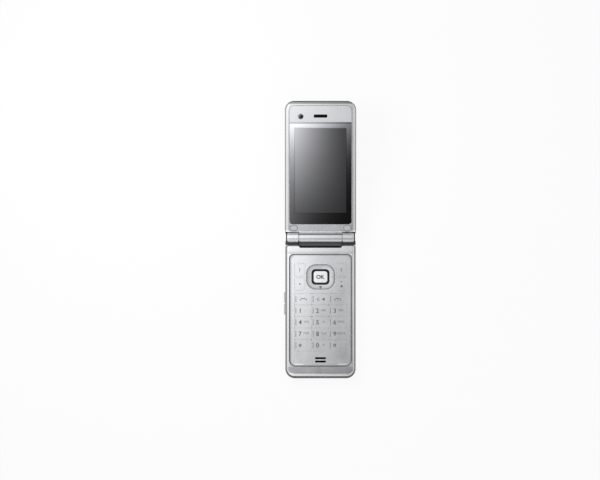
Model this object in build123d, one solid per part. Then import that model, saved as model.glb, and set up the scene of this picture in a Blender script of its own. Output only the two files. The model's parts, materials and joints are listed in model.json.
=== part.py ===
from build123d import *
import os
from math import sqrt

# A clamshell mobile phone, open and lying on its back.
# X runs across the phone, +Y from the base to the lid, +Z up out of the keypad.
# The origin is the middle of the base's flat back. All sizes are in millimetres.
#
# Each half is drawn on its own datum and placed at the end of the file:
#   base pieces: y = 0 under the hinge axis, -y down the keypad, z = 0 on the back
#   lid pieces:  y = 0 and z = 0 on the hinge axis, +y up the display, drawn level

# ---- The two halves ----
REACH = 102.6            # hinge axis to the free end of base and lid
BASE_WIDTH = 51.2
BASE_HEIGHT = 9.2
BASE_CORNER = 7.0        # plan radius at the free end
BASE_HINGE_CORNER = 2.2
BASE_BACK_EDGE = 1.8     # roundover along the back
BASE_FRONT_EDGE = 1.8    # roundover along the face
LID_OVERHANG = 0.3       # lid's side past the base's
LID_THICKNESS = 6.0
LID_CORNER = 6.8
LID_RIM_EDGE = 0.9
CLOSED_GAP = 0.6         # between the two inner faces when folded
OPEN_TILT = 16.0         # degrees the open lid rises from the level of the base

# ---- Clearances ----
FIT = 0.12               # hairline gap around keys, plates and covers
SLIP = 0.05              # between pieces stacked on each other
RUN = 0.05               # radial play of a shaft in its bore
TRAVEL = 0.3             # how far a key goes down

# ---- Hinge ----
BARREL_R = 3.5
KNUCKLE_LENGTH = 8.3     # each of the base's two, beside the lid's centre barrel
BARREL_SIDE_GAP = 0.35
BARREL_EDGE = 0.25       # bevel where barrel and knuckles meet
KNUCKLE_SETBACK = 1.3    # outer end of the knuckles, inside the base's side
CAP_THICKNESS = 0.9
CAP_SETBACK = 0.25       # cap radius under the knuckle's
CAP_EDGE = 0.3
SWING_GAP = 0.4          # around the barrel, for what turns past it
CARTRIDGE_R = 2.4
CARTRIDGE_REACH = 6.8    # how far cartridge and bush enter the centre barrel
SHAFT_R = 1.6
SHAFT_REACH = 2.0
SHAFT_END_GAP = 0.1      # hinge units to the outer end of the knuckles
BUSH_WALL = 0.65
FLEX_ROLL_R = 1.5
FLEX_THICKNESS = 0.12
FLEX_WIDTH = 10.0
FLEX_DROP = 1.0          # where the ribbon leaves the barrel
FLEX_ROOM = 0.4          # around the ribbon in its slot

# ---- Base shells ----
WALL = 1.3
FLOOR = 1.0
SPLIT = 4.4              # height of the seam between rear and front shell
DECK_START = 1.2         # end wall under the hinge
DECK_DROP = 2.0          # the step under the knuckles, below the face
BODY_LEAD = 1.5          # hinge clearance to where the full-height face begins
NOTCH_DEPTH = 3.4        # hinge clearance to the back of the notch in the face
NOTCH_CHAMFER = 1.0
NOTCH_EDGE = 0.6
HINGE_WALL = 1.1         # between the notch and the hollow
SADDLE_SLOT = 0.7        # between the rear shell's hump and the notch
SADDLE_DROP = 1.2
SADDLE_SIDE_GAP = 0.5

# ---- Keypad plate ----
PLATE_MARGIN = 3.1       # base side to the plate
PLATE_LEAD = 5.1         # notch to the plate
PLATE_FOOT = 8.9         # plate to the base's free end
PLATE_THICKNESS = 0.55
PLATE_SINK = 0.05        # below the shell's face
PLATE_EDGE = 0.35
PLATE_GROOVE = 0.4       # bevel of the shell around the plate
PLATE_HINGE_CORNER = 3.0
PLATE_END_CORNER = 4.5
LEDGE_WIDTH = 1.6        # shell ledge that carries the plate
LEDGE_THICKNESS = 0.6
SLOT_LENGTH = 7.8        # the two sound slots over the microphone
SLOT_HEIGHT = 1.45
SLOT_FOOT = 5.75         # first sound slot to the plate's end
SLOT_PITCH = 2.45

# ---- Keys ----
KEY_PROUD = 0.05         # number keys above the shell's face
KEY_EDGE = 0.06
GRID_MARGIN = 3.63       # plate side to the number keys
GRID_LEAD = 28.29        # plate's start to the top row
GRID_FOOT = 10.91        # bottom row to the plate's end
KEY_GAP = 0.12
KEY_CORNER = 0.5
RIB_WIDTH = 0.5
RIB_LENGTH = 4.6
RIB_HEIGHT = 0.1
RIB_INSET = 0.9          # from the key's left edge
SIDE_KEY_MARGIN = 3.65   # plate side to the keys beside the ring
SIDE_KEY_GAP = 1.2       # ring to the keys beside it
SIDE_KEY_LENGTH = 9.2
SIDE_KEY_PITCH = 10.4
SIDE_KEY_CORNER = 1.2

# ---- Navigation ring and centre key ----
NAV_LEAD = 16.3          # plate's start to the middle of the ring
NAV_WIDTH = 20.3
NAV_LENGTH = 17.9
NAV_CORNER = 6.6
NAV_PROUD = 0.25
NAV_EDGE = 0.4
NAV_GAP = 0.18           # around the ring, so that it can rock
OK_WIDTH = 12.8
OK_LENGTH = 11.1
OK_CORNER = 2.6
OK_PROUD = 0.2
OK_CAP_INSET = 1.45      # dark border around the raised cap
OK_CAP_RISE = 0.12
PAD_THICKNESS = 0.45
PAD_GAP = 0.25           # under the ring
PAD_MARGIN = 0.5         # mat's opening around the pad

# ---- Key mat, domes and board ----
MAT_THICKNESS = 0.4
MAT_MARGIN = 0.5         # mat past the plate's opening
MAT_LIP = 1.0
MAT_LEAD = 1.4           # plate's start to the mat
MAT_FOOT = 2.81          # bottom row to the mat's end
PLUNGER_R = 1.2
PLUNGER_LENGTH = 0.4
DOME_R = 2.0
DOME_TOP_R = 1.2
DOME_HEIGHT = 0.28
DOME_FILM = 0.12
DOME_GAP = 0.15          # between a plunger and its dome
NAV_DOME_X = 7.6
NAV_DOME_Y = 6.6
BOARD_THICKNESS = 0.8
BOARD_MARGIN = 2.0       # from the shells' side walls
BOARD_END_MARGIN = 3.1
BOARD_CORNER = 3.0
BOARD_LEAD = 0.4         # from the hollow's end wall
BOSS_CLEAR = 0.4         # board around the screw bosses

# ---- Battery and its cover ----
BAY_SIDE_ROOM = 5.1      # side wall to the bay, for socket and rocker
BATTERY_FOOT = 8.6       # battery to the base's free end
BAY_ROOF_WALL = 0.68     # between battery and board
BATTERY_START = 48.0
BATTERY_CORNER = 1.0
BAY_START = 30.5
BAY_SIDE_GAP = 0.4       # battery to its bay
BAY_WALL = 0.8
COVER_THICKNESS = 0.9
COVER_SIDE = 2.7         # side wall's inner face to the cover
COVER_START = 29.2
COVER_RIM = 0.8          # ledge that the battery cover lies on
GRIP_COUNT = 3
GRIP_START = 32.6
GRIP_PITCH = 1.5
GRIP_WIDTH = 13.0
GRIP_GROOVE = 0.6
GRIP_DEPTH = 0.25

# ---- Parts on the board ----
SIM_SIDE_GAP = 0.8       # bay wall to the card holder
SIM_START = 31.0
SIM_WIDTH = 27.0
SIM_LENGTH = 14.6
SIM_HEIGHT = 1.3
SIM_WALL = 0.8
SIM_ROOF = 0.4
SIM_RAIL = 2.0
CAN_HEIGHT = 1.35
CAN_WALL = 0.3
TOP_CAN_GAP = 0.6        # screw boss to the upper can
TOP_CAN_LEAD = 0.5       # board's start to the upper can
TOP_CAN_WIDTH = 25.0
TOP_CAN_LENGTH = 4.2
LOWER_CAN_GAP = 0.7      # lower can to bay wall and card holder
LOWER_CAN_START = 31.2
LOWER_CAN_LENGTH = 13.6
CONTACT_SIDE = 2.2       # bay wall to the terminal block
CONTACT_WIDTH = 8.4
CONTACT_LENGTH = 1.5
CONTACT_HEIGHT = 3.4
CONTACT_TIP = 0.25
CONTACT_BLADE = 1.7
CONTACT_COUNT = 3
CONTACT_PITCH = 2.6
CONTACT_GAP = 0.1        # tips to battery
MIC_R = 2.2
MIC_HEIGHT = 1.5
BOOT_WIDTH = 9.8
BOOT_LENGTH = 5.8
BOOT_CORNER = 1.5
BOOT_WALL = 0.7
MOTOR_R = 5.0
MOTOR_HEIGHT = 2.8
MOTOR_SIDE = 6.1         # side wall to the motor
SPEAKER_SIDE = 3.6       # side wall to the speaker
SPEAKER_GAP = 1.5        # camera to the speaker
SPEAKER_LENGTH = 10.0
SPEAKER_HEIGHT = 3.2
SPEAKER_CORNER = 4.6
SPEAKER_CONE = 0.6
GRILLE_COUNT = 4
GRILLE_PITCH = 1.8
GRILLE_SLOT = 0.9
GRILLE_LENGTH = 8.0
BAY_PARTS = 17.6         # hinge axis to camera, speaker and motor
CAMERA_SIZE = 8.4
CAMERA_GAP = 0.38        # window seat to the camera's block
CAMERA_BARREL_R = 3.0
CAMERA_WINDOW_R = 3.8
CAMERA_WINDOW_T = 0.7
CAMERA_WINDOW_SINK = 0.15
CAMERA_SEAT = 0.9
ANTENNA_SIDE_GAP = 2.4   # screw boss to the carrier
ANTENNA_GAP = 0.2        # bay wall to the carrier
ANTENNA_LENGTH = 5.2
ANTENNA_WALL = 0.7

# ---- Screws ----
SCREW_R = 0.7
SCREW_HEAD_R = 1.2
SCREW_HEAD = 0.6
SCREW_DRIVE_R = 0.55
BOSS_R = 1.8
PILOT_CLEAR = 0.03
TOP_SCREW_INSET = 2.9    # from the side wall
TOP_SCREW_LEAD = 3.0     # hollow's end wall to the upper screws
END_SCREW_INSET = 4.1
END_SCREW_FOOT = 5.0     # lower screws to the free end
LID_SCREW_LENGTH = 3.4

# ---- Volume rocker, on the left side ----
VOLUME_CENTRE = 47.9
VOLUME_LENGTH = 16.6
VOLUME_HEIGHT = 2.2
VOLUME_DROP = 3.05       # face to the rocker's middle
VOLUME_PROUD = 0.3
BUMP_PROUD = 0.65
BUMP_LENGTH = 7.8
BUMP_PITCH = 8.7
BUMP_EDGE = 0.38
VOLUME_FLANGE = 0.35
VOLUME_FLANGE_MARGIN = 0.9
VOLUME_FLANGE_TOP = 0.4
VOLUME_WALL_GAP = 0.3    # lets the rocker tip without touching the wall
VOLUME_BOARD_T = 0.5
VOLUME_PLUNGER = 0.35

# ---- Charging socket and its cover, on the right side ----
SOCKET_CENTRE = 39.0
SOCKET_LENGTH = 12.0
SOCKET_DEPTH = 4.9
SOCKET_HEIGHT = 2.6
SOCKET_WALL = 0.5
SOCKET_MOUTH = 4.0
SOCKET_TONGUE = 0.45
PORT_COVER_LENGTH = 14.0
PORT_COVER_HEIGHT = 4.0
PORT_COVER_T = 0.7
PORT_COVER_DROP = 0.08   # socket's middle to the cover's middle

# ---- Lid ----
COVER_SETBACK = 0.2      # outer cover inside the rim
COVER_DEPTH = 3.6        # outer face to the seam with the rim
COVER_CROWN = 6.7        # roundover of the cover's long sides and end
COVER_SKIN = 1.1
COVER_LIP = 1.6          # how far the cover passes beyond the hinge axis
COVER_LIP_WALL = 1.0
COVER_HINGE_CORNER = 2.2
COVER_LIP_EDGE = 0.9
TRAY_MARGIN = 2.95       # cover side to the frame's tray inside it
TRAY_WALL = 2.0
TRAY_FLOOR = 0.55
TRAY_START = 0.6
CHIN_CORNER = 0.8
NECK_DROP = 0.8          # barrel neck below the lid's inner face
DISPLAY_BAY_LEAD = 5.6   # inner panel's start to the display bay
BEZEL_MARGIN = 3.1       # lid side to the inner panel
BEZEL_THICKNESS = 1.5
BEZEL_LEAD = 1.1         # chin's edge to the inner panel
BEZEL_CORNER = 3.7
BEZEL_HINGE_CORNER = 0.6
BEZEL_EDGE = 0.3
BEZEL_GROOVE = 0.3       # bevel of the rim around the inner panel
WINDOW_LEAD = 4.95       # inner panel's start to the window
WINDOW_FOOT = 15.4       # window to the lid's free end
WINDOW_MARGIN = 0.3
WINDOW_THICKNESS = 1.0
WINDOW_SINK = 0.1
WINDOW_CORNER = 2.3
WINDOW_END_CORNER = 0.6
ACTIVE_MARGIN = 3.85     # window side to the picture area
ACTIVE_LEAD = 8.65
ACTIVE_FOOT = 4.6
DISPLAY_FLOOR_GAP = 0.25 # module to the tray's floor
DISPLAY_SIDE = 1.8       # module past the picture area, each side
DISPLAY_FOOT = 4.4       # and towards the hinge
DISPLAY_HEAD = 2.0
DISPLAY_GLASS = 0.8
DISPLAY_GLASS_STEP = 0.6
LENS_INSET = 8.3         # inner panel's side to the lens
LENS_FOOT = 11.1         # lens to the lid's free end
LENS_R = 2.05
LENS_THICKNESS = 0.55
LENS_SINK = 0.1
LENS_EDGE = 0.1
FRONT_CAMERA_SIZE = 6.2
FRONT_CAMERA_BARREL_R = 1.8
EAR_FOOT = 10.8
EAR_LENGTH = 9.8
EAR_HEIGHT = 2.4
EAR_LEDGE = 0.5
EAR_SEAT = 0.7
EAR_MESH = 0.4
EARPIECE_WIDTH = 11.0
EARPIECE_LENGTH = 6.0
EARPIECE_CORNER = 2.8
LID_BOARD_SIDE = 4.25    # tray's side to the small board
LID_BOARD_FOOT = 16.0    # small board's start to the lid's free end
LID_BOARD_LENGTH = 10.8
LID_BOARD_THICKNESS = 0.4
BUMPER_INSET = 3.3       # inner panel's side to the bumper
BUMPER_LEAD = 2.2        # inner panel's start to the bumper
BUMPER_WIDTH = 5.4
BUMPER_LENGTH = 4.2
BUMPER_CORNER = 1.7
BUMPER_SEAT = 0.6
BUMPER_PROUD = 0.35
BUMPER_EDGE = 0.2

# ---- Heights in the base, worked out from the sizes above ----
HINGE_Z = BASE_HEIGHT + CLOSED_GAP / 2
PLATE_TOP = BASE_HEIGHT - PLATE_SINK
LEDGE_TOP = PLATE_TOP - PLATE_THICKNESS
ROOF = LEDGE_TOP - LEDGE_THICKNESS
KEY_LOW = LEDGE_TOP - LEDGE_THICKNESS / 2 - FIT
KEY_TOP = BASE_HEIGHT + KEY_PROUD
MAT_TOP = KEY_LOW - TRAVEL - SLIP
MAT_LOW = MAT_TOP - MAT_THICKNESS
FILM_LOW = MAT_LOW - PLUNGER_LENGTH - DOME_GAP - DOME_HEIGHT - DOME_FILM
DOME_LOW = FILM_LOW + DOME_FILM
BOARD_TOP = FILM_LOW
BOARD_LOW = BOARD_TOP - BOARD_THICKNESS
COVER_SEAT = COVER_THICKNESS + SLIP
BATTERY_LOW = COVER_SEAT + SLIP
BAY_ROOF = BOARD_LOW - BAY_ROOF_WALL
BATTERY_TOP = BAY_ROOF - 2 * SLIP
DECK_TOP = BASE_HEIGHT - DECK_DROP
VOLUME_Z = BASE_HEIGHT - VOLUME_DROP
SOCKET_LOW = BOARD_LOW - SOCKET_HEIGHT
PORT_COVER_Z = BOARD_LOW - SOCKET_HEIGHT / 2 - PORT_COVER_DROP
WINDOW_SEAT = FLOOR + CAMERA_SEAT
CAMERA_LOW = WINDOW_SEAT + CAMERA_GAP

# ---- Places across the base ----
INNER_HALF = BASE_WIDTH / 2 - WALL
KNUCKLE_END = BASE_WIDTH / 2 - KNUCKLE_SETBACK
KNUCKLE_START = KNUCKLE_END - KNUCKLE_LENGTH
BARREL_HALF = KNUCKLE_START - BARREL_SIDE_GAP
BORE_R = CARTRIDGE_R + RUN
CLEAR_R = BARREL_R + SWING_GAP
PLATE_WIDTH = BASE_WIDTH - 2 * PLATE_MARGIN
COLUMN_PITCH = (PLATE_WIDTH - 2 * GRID_MARGIN) / 3
SIDE_KEY_WIDTH = (PLATE_WIDTH - NAV_WIDTH) / 2 - SIDE_KEY_MARGIN - SIDE_KEY_GAP
SIDE_KEY_X = (PLATE_WIDTH - SIDE_KEY_WIDTH) / 2 - SIDE_KEY_MARGIN
BAY_HALF = INNER_HALF - BAY_SIDE_ROOM - BAY_WALL
BATTERY_WIDTH = 2 * (BAY_HALF - BAY_SIDE_GAP)
COVER_HALF = INNER_HALF - COVER_SIDE
SIM_X = SIM_WIDTH / 2 + SIM_SIDE_GAP - BAY_HALF
LOWER_CAN_WIDTH = 2 * (BAY_HALF - LOWER_CAN_GAP) - SIM_SIDE_GAP - SIM_WIDTH
LOWER_CAN_X = BAY_HALF - LOWER_CAN_GAP - LOWER_CAN_WIDTH / 2
CONTACT_X = BAY_HALF - CONTACT_SIDE - CONTACT_WIDTH / 2
MOTOR_X = INNER_HALF - MOTOR_SIDE - MOTOR_R
SPEAKER_WIDTH = INNER_HALF - SPEAKER_SIDE - SPEAKER_GAP - CAMERA_SIZE / 2
SPEAKER_X = SPEAKER_SIDE + SPEAKER_WIDTH / 2 - INNER_HALF
TOP_SCREW_X = INNER_HALF - TOP_SCREW_INSET
END_SCREW_X = INNER_HALF - END_SCREW_INSET
TOP_CAN_X = TOP_CAN_WIDTH / 2 + TOP_CAN_GAP + BOSS_R - TOP_SCREW_X
ANTENNA_WIDTH = 2 * (END_SCREW_X - BOSS_R - ANTENNA_SIDE_GAP)

# ---- Distances from the hinge axis along the base ----
BODY_START = CLEAR_R + BODY_LEAD
NOTCH_END = CLEAR_R + NOTCH_DEPTH
SADDLE_END = NOTCH_END - SADDLE_SLOT
HOLLOW_START = NOTCH_END + HINGE_WALL
TOP_SCREW = HOLLOW_START + TOP_SCREW_LEAD
END_SCREW = REACH - END_SCREW_FOOT
BOARD_START = HOLLOW_START + BOARD_LEAD
TOP_CAN_START = BOARD_START + TOP_CAN_LEAD
PLATE_START = NOTCH_END + PLATE_LEAD
PLATE_END = REACH - PLATE_FOOT
NAV_CENTRE = PLATE_START + NAV_LEAD
GRID_START = PLATE_START + GRID_LEAD
GRID_END = PLATE_END - GRID_FOOT
ROW_PITCH = (GRID_END - GRID_START) / 5
FIRST_ROW = GRID_START + ROW_PITCH / 2
SLOT_START = PLATE_END - SLOT_FOOT
MAT_START = PLATE_START + MAT_LEAD
MAT_END = GRID_END + MAT_FOOT
BATTERY_END = REACH - BATTERY_FOOT
BAY_END = BATTERY_END + BAY_SIDE_GAP
ANTENNA_START = BAY_END + BAY_WALL + ANTENNA_GAP

# ---- Heights in the lid, from the hinge axis ----
FACE = -CLOSED_GAP / 2
OUTER = FACE - LID_THICKNESS
SEAM = OUTER + COVER_DEPTH
BEZEL_LOW = FACE - BEZEL_THICKNESS
WINDOW_TOP = FACE - WINDOW_SINK
WINDOW_LOW = WINDOW_TOP - WINDOW_THICKNESS
TRAY_LOW = OUTER + COVER_SKIN + SLIP
TRAY_TOP = TRAY_LOW + TRAY_FLOOR
DISPLAY_TOP = BEZEL_LOW - SLIP
DISPLAY_LOW = TRAY_TOP + DISPLAY_FLOOR_GAP

# ---- Places across and along the lid ----
LID_WIDTH = BASE_WIDTH + 2 * LID_OVERHANG
COVER_WIDTH = LID_WIDTH - 2 * COVER_SETBACK
TRAY_WIDTH = COVER_WIDTH - 2 * TRAY_MARGIN
BEZEL_WIDTH = LID_WIDTH - 2 * BEZEL_MARGIN
WINDOW_WIDTH = BEZEL_WIDTH - 2 * WINDOW_MARGIN
ACTIVE_WIDTH = WINDOW_WIDTH - 2 * ACTIVE_MARGIN
LENS_X = LENS_INSET - BEZEL_WIDTH / 2
BUMPER_X = BEZEL_WIDTH / 2 - BUMPER_INSET
LID_BOARD_WIDTH = TRAY_WIDTH - 2 * LID_BOARD_SIDE
CHIN_START = CLEAR_R
BEZEL_START = CHIN_START + BEZEL_LEAD
BEZEL_END = REACH - BEZEL_MARGIN
BUMPER_Y = BEZEL_START + BUMPER_LEAD
DISPLAY_BAY_START = BEZEL_START + DISPLAY_BAY_LEAD
WINDOW_START = BEZEL_START + WINDOW_LEAD
WINDOW_END = REACH - WINDOW_FOOT
ACTIVE_START = WINDOW_START + ACTIVE_LEAD
ACTIVE_END = WINDOW_END - ACTIVE_FOOT
LENS_Y = REACH - LENS_FOOT
EAR_Y = REACH - EAR_FOOT
LID_BOARD_START = REACH - LID_BOARD_FOOT

BASE = -1
LID = 1
BEYOND = 200.0           # longer than the phone, for cutting tools
MIDDLE = (Align.CENTER, Align.CENTER, Align.MIN)

KEY_GRID = (
    ("send_key", "clear_key", "end_key"),
    ("key_1", "key_2", "key_3"),
    ("key_4", "key_5", "key_6"),
    ("key_7", "key_8", "key_9"),
    ("key_star", "key_0", "key_hash"),
)
SIDE_KEYS = (
    ("soft_key_left", -1, -1),
    ("soft_key_right", 1, -1),
    ("shortcut_key_left", -1, 1),
    ("shortcut_key_right", 1, 1),
)


# ---- Shared shapes ----
def half_plate(side, width, near, far, low, high, far_corner, near_corner):
    """A flat plate of one half, between two distances from the hinge."""
    outline = Pos(0, side * (near + far) / 2) * Rectangle(width, far - near)
    corners = outline.vertices().sort_by(Axis.Y)
    far_pair = corners[-2:] if side > 0 else corners[:2]
    if far_corner > 0:
        outline = fillet(far_pair, far_corner)
    corners = outline.vertices().sort_by(Axis.Y)
    near_pair = corners[:2] if side > 0 else corners[-2:]
    if near_corner > 0:
        outline = fillet(near_pair, near_corner)
    return Pos(0, 0, low) * extrude(outline, high - low)


def block(side, x, distance, width, length, low, high):
    """An upright box centred at x and at a distance from the hinge."""
    return Pos(x, side * distance, low) * Box(width, length, high - low, align=MIDDLE)


def run(side, x, near, far, width, low, high):
    """An upright box from near to far of the hinge."""
    return block(side, x, (near + far) / 2, width, far - near, low, high)


def disc(side, x, distance, radius, low, high):
    """An upright cylinder."""
    return Pos(x, side * distance, low) * Cylinder(radius, high - low, align=MIDDLE)


def pill(side, x, distance, width, length, corner, low, high):
    """An upright block with rounded corners."""
    outline = RectangleRounded(width, length, corner)
    return Pos(x, side * distance, low) * extrude(outline, high - low)


def shaft(left, right, radius, height):
    """A cylinder along the hinge axis, at a height above the datum."""
    turned = Rot(0, 90, 0) * Cylinder(radius, right - left)
    return Pos((left + right) / 2, 0, height) * turned


def both(shape):
    """The shape and its mirror image across the phone."""
    return shape + mirror(shape, about=Plane.YZ)


def group(shapes):
    """Separate solids kept together as one piece."""
    whole = shapes[0]
    for shape in shapes[1:]:
        whole += shape
    return whole


def top_edges(shape):
    return shape.faces().sort_by(Axis.Z)[-1].edges()


def low_edges(shape):
    return shape.faces().sort_by(Axis.Z)[0].edges()


def bevel_opening(shape, height, size):
    """Bevels the way into an opening in the flat face at a height."""
    flat = shape.faces().filter_by(Axis.Z)
    level = flat.filter_by_position(Axis.Z, height - SLIP, height + SLIP)
    opening = level.sort_by(SortBy.AREA)[-1].inner_wires()[0]
    return shape.chamfer(size, None, opening.edges())


def screw(side, x, distance, head_face, tip, heading):
    """A screw whose head faces -Z or +Z, with a drive recess."""
    under = head_face - heading * SCREW_HEAD
    head = disc(side, x, distance, SCREW_HEAD_R, min(head_face, under), max(head_face, under))
    stem = disc(side, x, distance, SCREW_R, min(under, tip), max(under, tip))
    deep = head_face - heading * SCREW_HEAD / 2
    drive = disc(side, x, distance, SCREW_DRIVE_R, min(head_face, deep), max(head_face, deep))
    return head + stem - drive


# ---- Base: shells ----
def base_envelope():
    """Outside of the base: a low deck under the hinge, then the full body."""
    body = half_plate(BASE, BASE_WIDTH, BODY_START, REACH, 0, BASE_HEIGHT,
                      BASE_CORNER, BASE_HINGE_CORNER)
    body = fillet(top_edges(body), BASE_FRONT_EDGE)
    deck = half_plate(BASE, BASE_WIDTH, DECK_START, REACH, 0, DECK_TOP,
                      BASE_CORNER, BASE_HINGE_CORNER)
    whole = body + deck
    return fillet(low_edges(whole), BASE_BACK_EDGE)


def hollow(start, low, high):
    """The room inside the base's walls."""
    return half_plate(BASE, 2 * INNER_HALF, start, REACH - WALL, low, high,
                      BASE_CORNER - WALL, 0)


def knuckles():
    """The two side tubes that carry the hinge."""
    tube = shaft(KNUCKLE_START, KNUCKLE_END, BARREL_R, HINGE_Z)
    return both(chamfer(tube.faces().sort_by(Axis.X)[0].edges(), BARREL_EDGE))


def centre_barrel():
    """The lid's own tube, between the knuckles."""
    tube = shaft(-BARREL_HALF, BARREL_HALF, BARREL_R, 0)
    return chamfer(tube.edges().filter_by(GeomType.CIRCLE), BARREL_EDGE)


def notch():
    """Plan cut behind the centre barrel, with its lower corners chamfered."""
    half = KNUCKLE_START
    corner = NOTCH_END - NOTCH_CHAMFER
    points = (
        (-half, BEYOND), (-half, -corner), (NOTCH_CHAMFER - half, -NOTCH_END),
        (half - NOTCH_CHAMFER, -NOTCH_END), (half, -corner), (half, BEYOND),
    )
    outline = make_face(Polyline(*points, close=True))
    return Pos(0, 0, SPLIT) * extrude(outline, BASE_HEIGHT)


def plate_shape(grow, low, high):
    """The keypad plate's outline, grown or shrunk all round."""
    return half_plate(BASE, PLATE_WIDTH + 2 * grow, PLATE_START - grow, PLATE_END + grow,
                      low, high, PLATE_END_CORNER + grow, PLATE_HINGE_CORNER + grow)


def screw_places():
    return (
        (-TOP_SCREW_X, TOP_SCREW), (TOP_SCREW_X, TOP_SCREW),
        (-END_SCREW_X, END_SCREW), (END_SCREW_X, END_SCREW),
    )


def volume_slot():
    """Opening in the left wall for the rocker."""
    length = VOLUME_LENGTH + 2 * FIT
    height = VOLUME_HEIGHT + 2 * FIT
    return block(BASE, -BASE_WIDTH / 2, VOLUME_CENTRE, 3 * WALL, length,
                 VOLUME_Z - height / 2, VOLUME_Z + height / 2)


def port_cuts():
    """Recess for the socket's cover and the mouth behind it."""
    length = PORT_COVER_LENGTH + FIT
    height = PORT_COVER_HEIGHT + 2 * FIT
    depth = PORT_COVER_T + SLIP
    right = BASE_WIDTH / 2
    hinge_end = SOCKET_CENTRE + PORT_COVER_LENGTH / 2
    recess = block(BASE, right, hinge_end - length / 2, 2 * depth, length,
                   PORT_COVER_Z - height / 2, PORT_COVER_Z + height / 2)
    mouth = block(BASE, right, SOCKET_CENTRE, 3 * WALL, SOCKET_LENGTH + 2 * FIT,
                  SOCKET_LOW - FIT, BOARD_LOW)
    return recess + mouth


def base_front_shell():
    shell = base_envelope() & run(BASE, 0, -REACH, BEYOND, BEYOND, SPLIT, BEYOND)
    shell -= hollow(HOLLOW_START, SPLIT, ROOF)
    shell += knuckles()
    shell -= notch()
    shell = fillet(notch_edge(shell), NOTCH_EDGE)
    shell -= shaft(-KNUCKLE_END, KNUCKLE_END, BORE_R, HINGE_Z)
    shell -= both(shaft(KNUCKLE_END, BASE_WIDTH, BARREL_R - CAP_SETBACK + SLIP, HINGE_Z))
    for x, distance in screw_places():
        shell += disc(BASE, x, distance, BOSS_R, BOARD_LOW, ROOF)
        shell -= disc(BASE, x, distance, SCREW_R + PILOT_CLEAR, BOARD_LOW, ROOF - SLIP)
    shell -= plate_shape(FIT, LEDGE_TOP, BEYOND)
    shell = bevel_opening(shell, BASE_HEIGHT, PLATE_GROOVE)
    shell -= plate_shape(-LEDGE_WIDTH, ROOF, BEYOND)
    return shell - volume_slot() - port_cuts()


def notch_edge(shell):
    """The straight edge of the face along the notch."""
    length = 2 * (KNUCKLE_START - NOTCH_CHAMFER)
    face_edges = shell.edges().filter_by(Axis.X).filter_by_position(
        Axis.Z, BASE_HEIGHT - SLIP, BASE_HEIGHT + SLIP)
    return [edge for edge in face_edges if abs(edge.length - length) < SLIP
            and abs(edge.center().Y + NOTCH_END) < SLIP]


def base_rear_shell():
    envelope = base_envelope()
    shell = envelope & run(BASE, 0, -REACH, BEYOND, BEYOND, 0, SPLIT)
    shell -= hollow(SADDLE_END, FLOOR, SPLIT)
    saddle_width = 2 * (KNUCKLE_START - SADDLE_SIDE_GAP)
    saddle = run(BASE, 0, DECK_START, SADDLE_END, saddle_width, SPLIT, BASE_HEIGHT - SADDLE_DROP)
    shell += saddle - shaft(-BARREL_HALF, BARREL_HALF, CLEAR_R, HINGE_Z)
    shell += run(BASE, 0, BAY_START - BAY_WALL, BAY_END + BAY_WALL,
                 2 * (BAY_HALF + BAY_WALL), 0, BOARD_LOW)
    shell += envelope & run(BASE, 0, COVER_START - COVER_RIM, REACH,
                            2 * (COVER_HALF + COVER_RIM), 0, COVER_SEAT + COVER_RIM)
    for x, distance in screw_places():
        shell += disc(BASE, x, distance, BOSS_R, FLOOR, BOARD_LOW)
    shell += disc(BASE, 0, BAY_PARTS, CAMERA_WINDOW_R + WALL, FLOOR, WINDOW_SEAT)
    motor_ring = disc(BASE, MOTOR_X, BAY_PARTS, MOTOR_R + BAY_WALL, FLOOR, FLOOR + MOTOR_HEIGHT / 2)
    shell += motor_ring - disc(BASE, MOTOR_X, BAY_PARTS, MOTOR_R + FIT, FLOOR, BEYOND)
    shell -= run(BASE, 0, COVER_START - FIT, BEYOND, 2 * (COVER_HALF + FIT), 0, COVER_SEAT)
    shell -= run(BASE, 0, BAY_START, BAY_END, 2 * BAY_HALF, 0, BAY_ROOF)
    shell -= run(BASE, 0, BAY_START, BATTERY_START - CONTACT_GAP, 2 * BAY_HALF, 0, BOARD_LOW)
    shell -= screw_seats()
    shell -= disc(BASE, 0, BAY_PARTS, CAMERA_WINDOW_R + SLIP, 0,
                  CAMERA_WINDOW_SINK + CAMERA_WINDOW_T)
    shell -= disc(BASE, 0, BAY_PARTS, CAMERA_BARREL_R + FIT, 0, WINDOW_SEAT)
    for row in range(GRILLE_COUNT):
        distance = BAY_PARTS + (row - (GRILLE_COUNT - 1) / 2) * GRILLE_PITCH
        shell -= block(BASE, SPEAKER_X, distance, GRILLE_LENGTH, GRILLE_SLOT, 0, FLOOR)
    return shell - port_cuts()


def screw_seats():
    """Through holes of the base screws, with room for their heads."""
    seats = []
    for x, distance in screw_places():
        face = COVER_SEAT if distance > COVER_START else 0
        head_room = face + SCREW_HEAD + 2 * FIT
        seats.append(disc(BASE, x, distance, SCREW_HEAD_R + FIT, 0, head_room))
        seats.append(disc(BASE, x, distance, SCREW_R + FIT, 0, BOARD_LOW))
    return seats


def base_screws():
    screws = []
    for x, distance in screw_places():
        face = (COVER_SEAT if distance > COVER_START else 0) + FIT
        screws.append(screw(BASE, x, distance, face, ROOF - 2 * SLIP - FIT, -1))
    return group(screws)


def battery_cover():
    """Flush panel in the back, open towards the bottom end so that it slides off."""
    panel = base_envelope() & run(BASE, 0, COVER_START, BEYOND, 2 * COVER_HALF, 0, COVER_THICKNESS)
    for groove in range(GRIP_COUNT):
        distance = GRIP_START + groove * GRIP_PITCH
        panel -= block(BASE, 0, distance, GRIP_WIDTH, GRIP_GROOVE, 0, GRIP_DEPTH)
    return panel


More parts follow.
